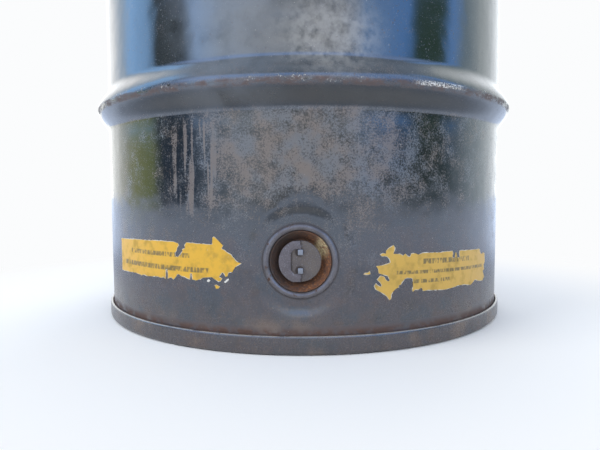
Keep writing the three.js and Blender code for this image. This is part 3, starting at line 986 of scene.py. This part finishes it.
class DRUM_OT_body(DrumPiece, Operator):
    """Rolls the body with its hoops and hems, presses the tap's seat and raises the weld"""

    bl_idname = "drum.body"
    bl_label = "Rolled body"

    def build(self, shape, paint):
        piece = draw_line("rolled_body", [at_drum(r, z, -13) for r, z in body_line(shape.hoop_steps)])
        # Narrow steps cross the tap and the weld, and wide ones the rest.
        for turn, steps in ((26, 78), (165.9, 76), (2.2, 6), (165.9, 76)):
            bpy.ops.mesh.spin(
                steps=steps,
                angle=-math.radians(turn),
                center=(0, 0, 0),
                axis=(0, 0, 1),
                use_auto_merge=False,
            )
        tidy_surface()
        self.ripple(piece, shape.waves)
        self.press_seat(piece)
        self.raise_weld(piece, shape.weld_rise)
        apply_modifier(
            piece,
            "SOLIDIFY",
            thickness=shape.sheet,
            offset=0,
            use_even_offset=True,
            use_quality_normals=True,
        )
        cut(piece, round_cutter(LARGE["neck"] + 0.3, -8, 8, TAP))
        finish_piece(piece, "drum", "black_paint", finishes["black_paint"], "shell")

    def ripple(self, piece, depth):
        """Lets the plain wall wave a little towards the inside, away from the hoops, seams and tap."""
        group = piece.vertex_groups.new(name="plain_wall")
        ends = (
            34,
            *[HOOPS[0] - HOOP_HALF, HOOPS[0] + HOOP_HALF, HOOPS[1] - HOOP_HALF, HOOPS[1] + HOOP_HALF],
            850,
        )
        for point in piece.data.vertices:
            x, y, z = point.co / MM
            if math.hypot(x, y) > WALL + 0.5 or y > 280:
                continue
            room = min(abs(z - end) for end in ends)
            share = smooth_step(room / 40) if 34 < z < 850 else 0
            if y < 0:
                share *= smooth_step((z - 135) / 50)
            if share:
                group.add([point.index], share, "REPLACE")
        cloud = bpy.data.textures.new("wall_waves", "CLOUDS")
        cloud.noise_scale = 0.11
        cloud.noise_depth = 1
        inward = piece.data.polygons[len(piece.data.polygons) // 3]
        side = 1 if inward.normal.dot(Vector((inward.center.x, inward.center.y, 0))) < 0 else -1
        apply_modifier(
            piece,
            "DISPLACE",
            texture=cloud,
            texture_coords="LOCAL",
            direction="NORMAL",
            mid_level=0,
            strength=side * depth * 1.4,
            vertex_group=group.name,
        )

    def press_seat(self, piece):
        """Flattens the wall in a disc round the tap and lets its edge slope away."""
        select_points(
            piece,
            lambda p: p.y < -260
            and math.hypot(p.x, p.z - TAP_HEIGHT) < SEAT_RADIUS
            and math.hypot(p.x, p.y) < 290,
        )
        bpy.ops.transform.resize(
            value=(1, 0, 1),
            center_override=(0, -(SEAT_PLANE - 0.6) * MM, TAP_HEIGHT * MM),
            use_proportional_edit=True,
            proportional_edit_falloff="SMOOTH",
            proportional_size=1.25 * SEAT_SLOPE * MM,
        )
        bpy.ops.object.mode_set(mode="OBJECT")

    def raise_weld(self, piece, rise):
        """Lifts the lap weld down the back clear of the wall."""
        select_points(
            piece,
            lambda p: p.y > 0 and abs(p.x) < 4 and 21 < p.z < 859 and math.hypot(p.x, p.y) < 301,
        )
        bpy.ops.transform.resize(value=(1, 1 + rise / 0.3015, 1), center_override=(0, 0, 0))
        bpy.ops.object.mode_set(mode="OBJECT")


class DRUM_OT_heads(DrumPiece, Operator):
    """Turns both heads with their folded rims, and cuts the two bung holes in the top one"""

    bl_idname = "drum.heads"
    bl_label = "Heads"

    def build(self, shape, paint):
        for name, node, line in (
            ("bottom_disc", "bottom_head", head_line()),
            ("top_disc", "top_head", flip(head_line())),
        ):
            piece = draw_line(name, [at_drum(r, z) for r, z in line])
            bpy.ops.mesh.spin(
                steps=180,
                angle=math.tau,
                center=(0, 0, 0),
                axis=(0, 0, 1),
                use_auto_merge=False,
            )
            tidy_surface()
            apply_modifier(
                piece,
                "SOLIDIFY",
                thickness=shape.sheet,
                offset=0,
                use_even_offset=True,
                use_quality_normals=True,
            )
            if node == "top_head":
                cut(piece, round_cutter(LARGE["neck"] + 0.3, -8, 8, FILLER))
                cut(piece, round_cutter(SMALL["neck"] + 0.3, -8, 8, VENT))
            finish_piece(piece, "drum", "black_paint", finishes["black_paint"], node)


class DRUM_OT_flanges(DrumPiece, Operator):
    """Makes the three threaded flanges with their rolled beads"""

    bl_idname = "drum.flanges"
    bl_label = "Flanges"

    def build(self, shape, paint):
        for name, node, size, place in (
            ("tap_collar", "tap_flange", LARGE, TAP),
            ("filler_collar", "filler_flange", LARGE, FILLER),
            ("vent_collar", "vent_flange", SMALL, VENT),
        ):
            piece = closure_flange(name, size, place)
            finish_piece(piece, "drum", "worn_steel", finishes["worn_steel"], node)


class DRUM_OT_bungs(DrumPiece, Operator):
    """Makes the filler and vent bungs with their gaskets"""

    bl_idname = "drum.bungs"
    bl_label = "Bungs"

    def build(self, shape, paint):
        outline = [
            (0, -13),
            (27.4, -13),
            *thread_line(27.9, 28.9, -12.2, 3.5, LARGE["pitch"]),
            (28.2, 5.8),
            (37.3, 5.8),
            *arc(36.5, 7.6, 1.2, 0, 90, 6),
            *arc(26.6, 7.8, 1.0, 90, 180, 6),
            (25.55, -9.6),
            *arc(24.55, -9.6, 1.0, 0, -90, 4),
            (0, -10.6),
        ]
        bung = revolve("filler_bung_cup", outline, Matrix.Identity(4), 128, closed=False)
        for side in (-1, 1):
            cut(bung, bevelled_block(10, 8, -11.8, -0.8, side * 21.55, 0, 0.8), "UNION")
        put(bung, FILLER)
        finish_piece(bung, "filler_bung", "worn_steel", finishes["worn_steel"], "filler_plug")
        outline = [
            (0, -10.5),
            (11.2, -10.5),
            *thread_line(11.75, 12.6, -9.8, 2.2, SMALL["pitch"]),
            (12.0, 4.6),
            (17.7, 4.6),
            *arc(17.0, 6.2, 1.0, 0, 90, 6),
            (0, 7.2),
        ]
        bung = revolve("vent_bung_plug", outline, Matrix.Identity(4), 96, closed=False)
        cut(bung, bevelled_block(13, 13, -2.8, 9, 0, 0, 0.6))
        put(bung, VENT)
        finish_piece(bung, "vent_bung", "worn_steel", finishes["worn_steel"], "vent_plug")
        ring = gasket_ring("filler_bung_ring", 29.45, 36.7, 4.0, 5.5, FILLER)
        finish_piece(ring, "filler_seal", "rubber", finishes["rubber"], "filler_plug_gasket")
        ring = gasket_ring("vent_bung_ring", 12.95, 17.0, 2.8, 4.3, VENT)
        finish_piece(ring, "vent_seal", "rubber", finishes["rubber"], "vent_plug_gasket")


class DRUM_OT_cup(DrumPiece, Operator):
    """Turns the dished bush that guides the tap's sliding tube"""

    bl_idname = "drum.cup"
    bl_label = "Guide bush"

    def build(self, shape, paint):
        outline = [
            (17.4, -25.6),
            (17.4, -24),
            *[
                (r, z)
                for depth in (22, 12)
                for r, z in (
                    (17.4, -depth - 1.2),
                    (19.4, -depth - 1.2),
                    (19.4, -depth + 1.2),
                    (17.4, -depth + 1.2),
                )
            ],
            (17.4, -9.0),
            (17.9, -8.5),
            (22.3, -8.5),
            *arc(22.3, -7.6, 0.9, -90, -35, 4),
            (30.4, 0.1),
            *arc(31.0, 0.3, 0.7, 160, 90, 5),
            (31.6, 1.0),
            *arc(31.6, 0.5, 0.5, 90, 0, 3),
            (32.1, -3.9),
            (28.4, -3.9),
            *thread_line(27.9, 28.75, -5, -14.4, LARGE["pitch"]),
            (28.0, -15.2),
            (23, -16.5),
            (23, -25.4),
            (22.4, -26),
            (17.8, -26),
        ]
        piece = revolve("guide_cup", outline, TAP, 144)
        finish_piece(piece, "drum", "rusty_steel", finishes["rusty_steel"], "tap_guide_bush")


class DRUM_OT_spout(DrumPiece, Operator):
    """Turns the sliding tube and cuts its outlet"""

    bl_idname = "drum.spout"
    bl_label = "Sliding tube"

    def build(self, shape, paint):
        outline = [
            (14.4, -101.3),
            (14.8, -101.7),
            (16.5, -101.7),
            (17.0, -101.2),
            (17.0, -99.2),
            (16.0, -99.2),
            (16.0, -96.4),
            (17.0, -96.4),
            (17.0, -6.8),
            (16.5, -6.3),
            (14.8, -6.3),
            (14.4, -6.7),
            (14.4, -31.0),
            (15.4, -31.0),
            (15.4, -33.0),
            (14.4, -33.0),
        ]
        piece = revolve("sliding_tube", outline, TAP, 128)
        outlet = round_cutter(
            8,
            -30,
            -5,
            Matrix.Translation(Vector((0, -SEAT_PLANE + 20, TAP_HEIGHT)) * MM),
            64,
        )
        cut(piece, outlet)
        finish_piece(piece, "spout", "worn_steel", finishes["worn_steel"], "spout_tube")


class DRUM_OT_core(DrumPiece, Operator):
    """Makes the turning core: a face disc with two drilled lugs, and the sleeve behind it"""

    bl_idname = "drum.core"
    bl_label = "Turning core"

    def build(self, shape, paint):
        outline = [
            (0, -0.4),
            (20.4, -0.4),
            *arc(20.7, -1.2, 0.8, 90, 0, 6),
            (21.5, -4.0),
            (21.3, -4.2),
            (14.0, -4.2),
            (14.0, -31.0),
            (13.0, -31.0),
            (13.0, -33.0),
            (14.0, -33.0),
            (14.0, -37.6),
            (13.6, -38),
            (11.6, -38),
            (11.6, -4.2),
            (0, -4.2),
        ]
        piece = revolve("core_disc", outline, Matrix.Identity(4), 128, closed=False)
        for side in (-1, 1):
            cut(piece, bevelled_block(5.4, 5.8, -1.6, 3.4, 0, side * 9.6, 0.55), "UNION")
        across = Matrix.Translation(Vector((0, 0, 1.0)) * MM) @ Matrix.Rotation(math.pi / 2, 4, "X")
        cut(piece, round_cutter(1.45, -12.9, 12.9, across, 32))
        sideways = Matrix.Translation(Vector((0, 0, -20)) * MM) @ Matrix.Rotation(-math.pi / 2, 4, "Y")
        cut(piece, round_cutter(8, 5, 20, sideways, 64))
        put(piece, TAP)
        finish_piece(piece, "core", "cast_alloy", finishes["cast_alloy"], "tap_core")


class DRUM_OT_pull(DrumPiece, Operator):
    """Makes the folding half ring with its two trunnions"""

    bl_idname = "drum.pull"
    bl_label = "Pull ring"

    def build(self, shape, paint):
        reach = math.degrees(math.asin(21.1 / 22.5))
        outline = [
            *[(-r, z) for r, z in arc(0, 0, 22.5, reach, -reach, 48)],
            *arc(-0.5, -20.6, 0.5, -90, 0, 4),
            *arc(-0.5, -13.4, 0.5, 0, 90, 4),
            (-5.5, -12.9),
            (-6.2, -12.7),
            (-9.8, -9.1),
            (-10, -8.4),
            (-10, 8.4),
            (-9.8, 9.1),
            (-6.2, 12.7),
            (-5.5, 12.9),
            *arc(-0.5, 13.4, 0.5, -90, 0, 4),
            *arc(-0.5, 20.6, 0.5, 0, 90, 4),
        ]
        piece = draw_line("half_ring", [Vector((x, y, -0.1)) * MM for x, y in outline], closed=True)
        bpy.ops.mesh.edge_face_add()
        bpy.ops.mesh.extrude_region_move(TRANSFORM_OT_translate={"value": (0, 0, 2.2 * MM)})
        tidy_surface()
        apply_modifier(
            piece,
            "BEVEL",
            width=0.25 * MM,
            segments=2,
            limit_method="ANGLE",
            angle_limit=math.radians(50),
        )
        for side in (-1, 1):
            along = Matrix.Translation(Vector((0, 0, 1.0)) * MM) @ Matrix.Rotation(
                -side * math.pi / 2,
                4,
                "X",
            )
            cut(piece, round_cutter(1.1, 6.2, 17.4, along, 32), "UNION")
        put(piece, TAP)
        finish_piece(piece, "ring", "cast_alloy", finishes["cast_alloy"], "pull_ring")


# Labels, drawn as seen from the front: x and height in millimetres, clockwise. Each is one sheet or scrap.

LABELS = {
    "left_label": [
        (-226.9, 112), (-197.2, 113.9), (-175.1, 114.4), (-155.6, 115), (-139.9, 114.4), (-135.1, 113.2),
        (-133.6, 111), (-135.8, 108.2), (-136.6, 104.9), (-138.9, 102), (-137.9, 98.7), (-135.1, 98.1),
        (-132.5, 101.2), (-129.3, 104.9), (-129.8, 106.9), (-126.1, 108.2), (-126.6, 111.4),
        (-124.3, 114.6), (-109, 114.1), (-93.7, 113.6), (-93.2, 121), (-91.6, 122), (-88.4, 119.5),
        (-84.3, 115.6), (-81.3, 112.8), (-83.2, 109.7), (-79.6, 107.7), (-76.6, 105.4), (-73, 103.6),
        (-70.6, 101), (-67.9, 97.8), (-64.5, 95.3), (-61.7, 94.7), (-64.6, 92.5), (-68.2, 90.4),
        (-69.9, 88.1), (-71.6, 84.9), (-75.7, 84.4), (-77, 80.4), (-79.5, 79.7), (-80.9, 83.1),
        (-82.9, 84.4), (-84.6, 81.5), (-86.5, 79.4), (-82.7, 78.2), (-84.7, 75.1), (-86.8, 74.1),
        (-90.5, 76.1), (-94.3, 78.4), (-99, 78.2), (-104.9, 77.4), (-107.8, 75.5), (-113.8, 73.6),
        (-117.8, 74.6), (-118.3, 80.9), (-120.1, 80.8), (-120.6, 74.5), (-123.1, 74.9), (-127, 76.7),
        (-131.2, 77.3), (-134.3, 79.1), (-136.7, 78.5), (-137.8, 76), (-141.4, 72.5), (-144.8, 74.7),
        (-149, 72.7), (-149.5, 83.1), (-151.2, 82.8), (-152.2, 72), (-155.6, 74), (-158, 72.3),
        (-163.9, 73.6), (-171.3, 72.7), (-180.4, 72), (-184.4, 73), (-188.6, 71.8), (-198.7, 73.4),
        (-207.4, 72.5), (-226.6, 72.4)
    ],
    "left_scrap": [
        (-91.7, 70.1), (-89.2, 71), (-85.7, 69.2), (-87.1, 66.9), (-89.9, 66.3)
    ],
    "right_label": [
        (98, 112.3), (99.9, 109.2), (99, 105.3), (97.8, 102.7), (105.1, 102.9), (108.9, 100.7),
        (111.3, 102.5), (114.7, 99.5), (116.8, 99), (118.3, 102.5), (123.5, 102.1), (126.5, 100.6),
        (132.5, 102.4), (152.6, 101.3), (171.4, 101.4), (172.2, 98), (171.7, 94.2), (174.6, 93),
        (175.7, 99.1), (177, 99), (179, 93.1), (182, 93.1), (181.2, 96.7), (181.9, 100.8), (216.1, 99),
        (218.8, 93.1), (221.8, 92.1), (223.4, 93.8), (227, 92.3), (228.1, 81.2), (225.6, 77.6),
        (226.7, 72.1), (224, 70.6), (227, 62.7), (223.5, 58.3), (215.7, 59.9), (207.9, 62.7),
        (203.2, 59.3), (200.4, 57.4), (190.6, 59.6), (182.7, 60.3), (176.2, 59.7), (170.4, 58.8),
        (158.8, 58.5), (139.3, 60.3), (133, 60.2), (131.2, 63.8), (126.9, 62.1), (122.9, 62.5),
        (120.5, 60.4), (119.5, 62.7), (120.9, 66.4), (120, 75.3), (113.9, 75.9), (111.1, 75.3),
        (108.2, 71.9), (106.5, 69.3), (104.2, 68.9), (104.5, 66.8), (100.7, 65.2), (97.9, 62.8),
        (96.1, 59.4), (95.6, 54.9), (93.8, 53.8), (91.4, 57.1), (85.9, 61.8), (78.6, 66.2), (76.8, 69.5),
        (78.6, 72.8), (80.8, 70.5), (84, 68.9), (85.1, 70.1), (83.1, 73.5), (79.9, 76.3), (83.1, 80),
        (85.3, 80.4), (88.1, 78.9), (89.5, 75.7), (92.2, 73.8), (93.7, 74.8), (92.7, 77.8), (91.3, 79.6),
        (87.6, 80.8), (81.7, 83.2), (80.7, 87.7), (78.9, 90.8), (84.8, 91.4), (91.2, 92.8), (94.4, 94),
        (93.5, 97.5), (91.1, 100.3), (85.6, 100.9), (82.9, 102.4), (86.5, 104.5), (89.3, 103.4),
        (89.7, 106.5), (92.9, 109.5)
    ],
    "right_scrap": [
        (65.2, 82.7), (66.9, 84), (69.8, 84.2), (72.1, 86), (72.8, 83.8), (73, 82.6), (69.6, 81.9)
    ],
}  # fmt: skip
BARE_SCRAPS = {
    "white_scrap_a": [
        (-100.2, 75.3), (-98.1, 76.1), (-96.4, 74.9), (-98.4, 73.4), (-100.1, 73.5)
    ],
    "white_scrap_b": [
        (-76.1, 78.2), (-75.5, 76.9), (-79.6, 73.2), (-80.7, 73.9)
    ],
}  # fmt: skip


def torn(outline, rag, draws):
    """Breaks an outline into short steps and makes it ragged."""
    points = []
    for here, there in zip(outline, outline[1:] + outline[:1]):
        here, there = Vector(here), Vector(there)
        run = there - here
        inwards = Vector((run.y, -run.x)).normalized()
        count = max(1, round(run.length / 2.5))
        points += [here + run * i / count + inwards * draws.uniform(*rag) for i in range(count)]
    return points


def wall_patch(name, outline, stand_off, thickness):
    """A thin sheet cut to an outline seen from the front and laid on the wall, at stand_off from it."""
    piece = draw_line(name, [Vector((p.x, -320, p.y)) * MM for p in outline], closed=True)
    bpy.ops.mesh.edge_face_add()
    xs = [p.x for p in outline]
    for x in spread(min(xs), max(xs), 5):
        bpy.ops.mesh.select_all(action="SELECT")
        bpy.ops.mesh.bisect(plane_co=(x * MM, 0, 0), plane_no=(1, 0, 0))
    tidy_surface()
    outwards = sum(face.normal.y * face.area for face in piece.data.polygons) < 0
    apply_modifier(
        piece,
        "SHRINKWRAP",
        target=bpy.data.objects["rolled_body"],
        wrap_method="PROJECT",
        use_project_y=True,
        offset=stand_off * MM,
    )
    apply_modifier(piece, "SOLIDIFY", thickness=thickness * MM, offset=1 if outwards else -1)
    return piece


class DRUM_OT_labels(DrumPiece, Operator):
    """Sticks two torn arrow labels and their scraps on the wall, each as a paper layer with a film on it"""

    bl_idname = "drum.labels"
    bl_label = "Labels"

    def build(self, shape, paint):
        draws = random.Random(7)
        rag = shape.torn / MM
        for name, outline in {**LABELS, **BARE_SCRAPS}.items():
            backing = wall_patch(f"{name}_paper", torn(outline, (-0.8 * rag, 0.4 * rag), draws), 0.2, 0.12)
            finish_piece(backing, "drum", "black_paint", finishes["paper"])
        for name, outline in LABELS.items():
            film = wall_patch(f"{name}_film", torn(outline, (0, 0.9 * rag), draws), 0.36, 0.12)
            finish_piece(film, "drum", "black_paint", finishes["film" if "left" in name else "film_faded"])


class DRUM_OT_hidden(DrumPiece, Operator):
    """Gives the seals and rings that stay as the CAD made them their finishes"""

    bl_idname = "drum.hidden"
    bl_label = "Seals and rings"

    def build(self, shape, paint):
        for names, finish in (
            (
                ("filler_flange_gasket", "vent_flange_gasket", "tap_flange_gasket", "tap_bush_gasket"),
                "rubber",
            ),
            (("spout_seal_front", "spout_seal_rear", "core_face_seal"), "rubber"),
            (("spout_stop_ring", "core_snap_ring"), "worn_steel"),
        ):
            for name in names:
                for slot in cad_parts[name].material_slots:
                    slot.material = finishes[finish]


CAMERA_PLACE = (8.73, -784.1, 166.0)  # millimetres
CAMERA_TURN = (3.585, -1.042, -0.266)  # pitch, yaw and roll in degrees
CAMERA_LENS = 29.29  # millimetres
PLAIN_LIGHT = 0.95  # strength of the even light on dull surfaces
MIRRORED_LIGHT = 3.6  # strength of the ring of sky in the gloss
FAR_FLOOR_LIGHT = 2.2  # strength of the distant floor in the gloss

# What the gloss mirrors, as azimuth in degrees from the tap's side and colour, above and near the horizon

SKY_HIGH = (
    (-180, "caccce"), (-132, "c5c7c9"), (-116, "9dafc2"), (-108, "98c6f9"), (-91, "98c6f9"), (-84, "3e4647"),
    (-66, "394143"), (-58, "a0c7f9"), (-42, "adbbcc"), (-20, "b3b8be"), (-4, "a2a8ad"), (6, "adb1b6"),
    (24, "bac0c9"), (34, "94bcf2"), (57, "71aaf6"), (64, "3c5446"), (80, "3e554a"), (87, "77a8eb"),
    (98, "7e919e"), (116, "a2aaad"), (136, "b4b9bd"), (180, "c5c8ca"),
)  # fmt: skip
SKY_LOW = (
    (-180, "caccce"), (-130, "bbbdbb"), (-116, "9da096"), (-106, "8c916a"), (-90, "7e8856"), (-82, "303c4c"),
    (-62, "2d3b4f"), (-50, "657282"), (-34, "889199"), (-14, "7b7d80"), (8, "63676d"), (30, "747980"),
    (48, "596167"), (62, "394340"), (82, "3c4a4c"), (92, "67747d"), (104, "8c99a2"), (122, "a3acb1"),
    (136, "b4b9bd"), (180, "c5c8ca"),
)  # fmt: skip


class DRUM_OT_stage(DrumPiece, Operator):
    """Lays the floor, sets the soft light and the sky, and aims the camera"""

    bl_idname = "drum.stage"
    bl_label = "Stage"

    def build(self, shape, paint):
        self.lay_floor(paint)
        self.light_sky()
        self.hang_lamps()
        self.aim_camera()

    def lay_floor(self, paint):
        start_clean()
        bpy.ops.mesh.primitive_plane_add(size=60, location=(0, 0, -0.0005))
        floor = bpy.context.object
        floor.name = "studio_floor"
        finish, tree, surface, place, _ = new_finish("pale_floor", Roughness=0.9)
        surface.inputs["Base Color"].default_value = paint.floor
        path = add_node(tree, "ShaderNodeLightPath").outputs
        looked_at = combine(tree, "MAXIMUM", path["Is Camera Ray"], path["Is Glossy Ray"])
        away = combine(tree, "MULTIPLY", ramp(tree, from_axis(tree, place), 0.33, 0.75), looked_at)
        snow = coat(tree, to_linear("fbfcfd"), (path["Is Glossy Ray"], to_linear("c4d2ea")))
        far = combine(tree, "MULTIPLY", ramp(tree, from_axis(tree, place), 0.45, 1.3), path["Is Glossy Ray"])
        white = add_node(
            tree,
            "ShaderNodeEmission",
            {"Color": snow, "Strength": level(tree, 1.0, (far, FAR_FLOOR_LIGHT))},
        )
        both = add_node(tree, "ShaderNodeMixShader", {0: away, 1: surface.outputs[0], 2: white.outputs[0]})
        for node in tree.nodes:
            if node.type == "OUTPUT_MATERIAL":
                tree.links.new(both.outputs[0], node.inputs["Surface"])
        floor.data.materials.append(finish)

    def light_sky(self):
        """White for the eye, and for the drum a ring of snow, blue sky and dark trees, by compass angle."""
        world = bpy.data.worlds.new("open_sky")
        bpy.context.scene.world = world
        world.use_nodes = True
        tree = world.node_tree
        tree.nodes.clear()
        place = add_node(tree, "ShaderNodeTexCoord").outputs["Generated"]
        x, y, z = add_node(tree, "ShaderNodeSeparateXYZ", {0: place}).outputs
        ahead = add_node(tree, "ShaderNodeMath", {0: y, 1: -1.0}, operation="MULTIPLY").outputs[0]
        turn = add_node(tree, "ShaderNodeMath", {0: x, 1: ahead}, operation="ARCTAN2").outputs[0]
        share = add_node(
            tree,
            "ShaderNodeMath",
            {0: turn, 1: 1 / math.tau, 2: 0.5},
            operation="MULTIPLY_ADD",
        ).outputs[0]
        bands = []
        for stops in (SKY_HIGH, SKY_LOW):
            band = add_node(tree, "ShaderNodeValToRGB", {0: share})
            marks = band.color_ramp.elements
            for azimuth, code in stops[1:-1]:
                marks.new(azimuth / 360 + 0.5).color = to_linear(code)
            marks[0].color = to_linear(stops[0][1])
            marks[len(marks) - 1].color = to_linear(stops[-1][1])
            bands.append(band.outputs[0])
        zenith = combine(tree, "MULTIPLY", ramp(tree, z, 0.3, 0.6), ramp(tree, ahead, -0.1, 0.35))
        sky = coat(
            tree,
            bands[1],
            (ramp(tree, z, 0.07, 0.2), bands[0]),
            (zenith, to_linear("90b2ea")),
            (ramp(tree, z, 0.72, 0.84), to_linear("728092")),
        )
        path = add_node(tree, "ShaderNodeLightPath").outputs
        seen = path["Is Camera Ray"]
        colour = coat(tree, to_linear("dde3ec"), (path["Is Glossy Ray"], sky), (seen, to_linear("fbfcfd")))
        strength = level(tree, PLAIN_LIGHT, (path["Is Glossy Ray"], MIRRORED_LIGHT), (seen, 1.0))
        light = add_node(tree, "ShaderNodeBackground", {"Color": colour, "Strength": strength})
        add_node(tree, "ShaderNodeOutputWorld", {0: light.outputs[0]})

    def hang_lamps(self):
        for name, power, size, place in (
            ("window", 40, 1.6, (-2.15, -1.2, 2.1)),
            ("fill", 14, 1.8, (0.75, -2.3, 1.7)),
            ("back", 30, 2.0, (0.6, 2.2, 2.0)),
        ):
            start_clean()
            bpy.ops.object.light_add(type="AREA", location=place)
            lamp = bpy.context.object
            lamp.name = name
            lamp.data.energy = power
            lamp.data.size = size
            lamp.visible_glossy = False
            lamp.rotation_euler = (Vector((0, 0, 0.3)) - Vector(place)).to_track_quat("-Z", "Y").to_euler()

    def aim_camera(self):
        start_clean()
        pitch, yaw, roll = (math.radians(a) for a in CAMERA_TURN)
        ahead = Vector((math.sin(yaw) * math.cos(pitch), math.cos(yaw) * math.cos(pitch), -math.sin(pitch)))
        right = ahead.cross(Vector((0, 0, 1))).normalized()
        above = right.cross(ahead)
        turned_right = right * math.cos(roll) + above * math.sin(roll)
        turned_above = above * math.cos(roll) - right * math.sin(roll)
        bpy.ops.object.camera_add()
        camera = bpy.context.object
        camera.name = "photo_camera"
        camera.data.sensor_width = 36
        camera.data.lens = CAMERA_LENS
        camera.data.clip_start = 0.01
        turn = Matrix((turned_right, turned_above, -ahead)).transposed().to_4x4()
        camera.matrix_world = Matrix.Translation(Vector(CAMERA_PLACE) * MM) @ turn
        bpy.context.scene.camera = camera


PIECES = (
    DRUM_OT_finishes,
    DRUM_OT_body,
    DRUM_OT_heads,
    DRUM_OT_flanges,
    DRUM_OT_bungs,
    DRUM_OT_cup,
    DRUM_OT_spout,
    DRUM_OT_core,
    DRUM_OT_pull,
    DRUM_OT_labels,
    DRUM_OT_hidden,
    DRUM_OT_stage,
)


class VIEW3D_PT_drum(Panel):
    """Lists the drum's settings and the steps that build it"""

    bl_idname = "VIEW3D_PT_drum"
    bl_label = "Steel drum"
    bl_space_type = "VIEW_3D"
    bl_region_type = "UI"
    bl_category = "Drum"

    def draw(self, context):
        for settings in (context.scene.drum_shape, context.scene.drum_paint):
            for name in settings.__annotations__:
                self.layout.prop(settings, name)
        for piece in PIECES:
            self.layout.operator(piece.bl_idname)


CLASSES = (DrumShape, DrumPaint, *PIECES, VIEW3D_PT_drum)


def register():
    for cls in CLASSES:
        bpy.utils.register_class(cls)
    bpy.types.Scene.drum_shape = PointerProperty(type=DrumShape)
    bpy.types.Scene.drum_paint = PointerProperty(type=DrumPaint)


def unregister():
    del bpy.types.Scene.drum_paint
    del bpy.types.Scene.drum_shape
    for cls in reversed(CLASSES):
        bpy.utils.unregister_class(cls)


def main():
    register()
    bpy.context.scene.view_settings.view_transform = "Standard"
    for piece in PIECES:
        group, step = piece.bl_idname.split(".")
        getattr(getattr(bpy.ops, group), step)()
    start_clean()
    bpy.context.view_layer.update()


if __name__ == "__main__":
    main()
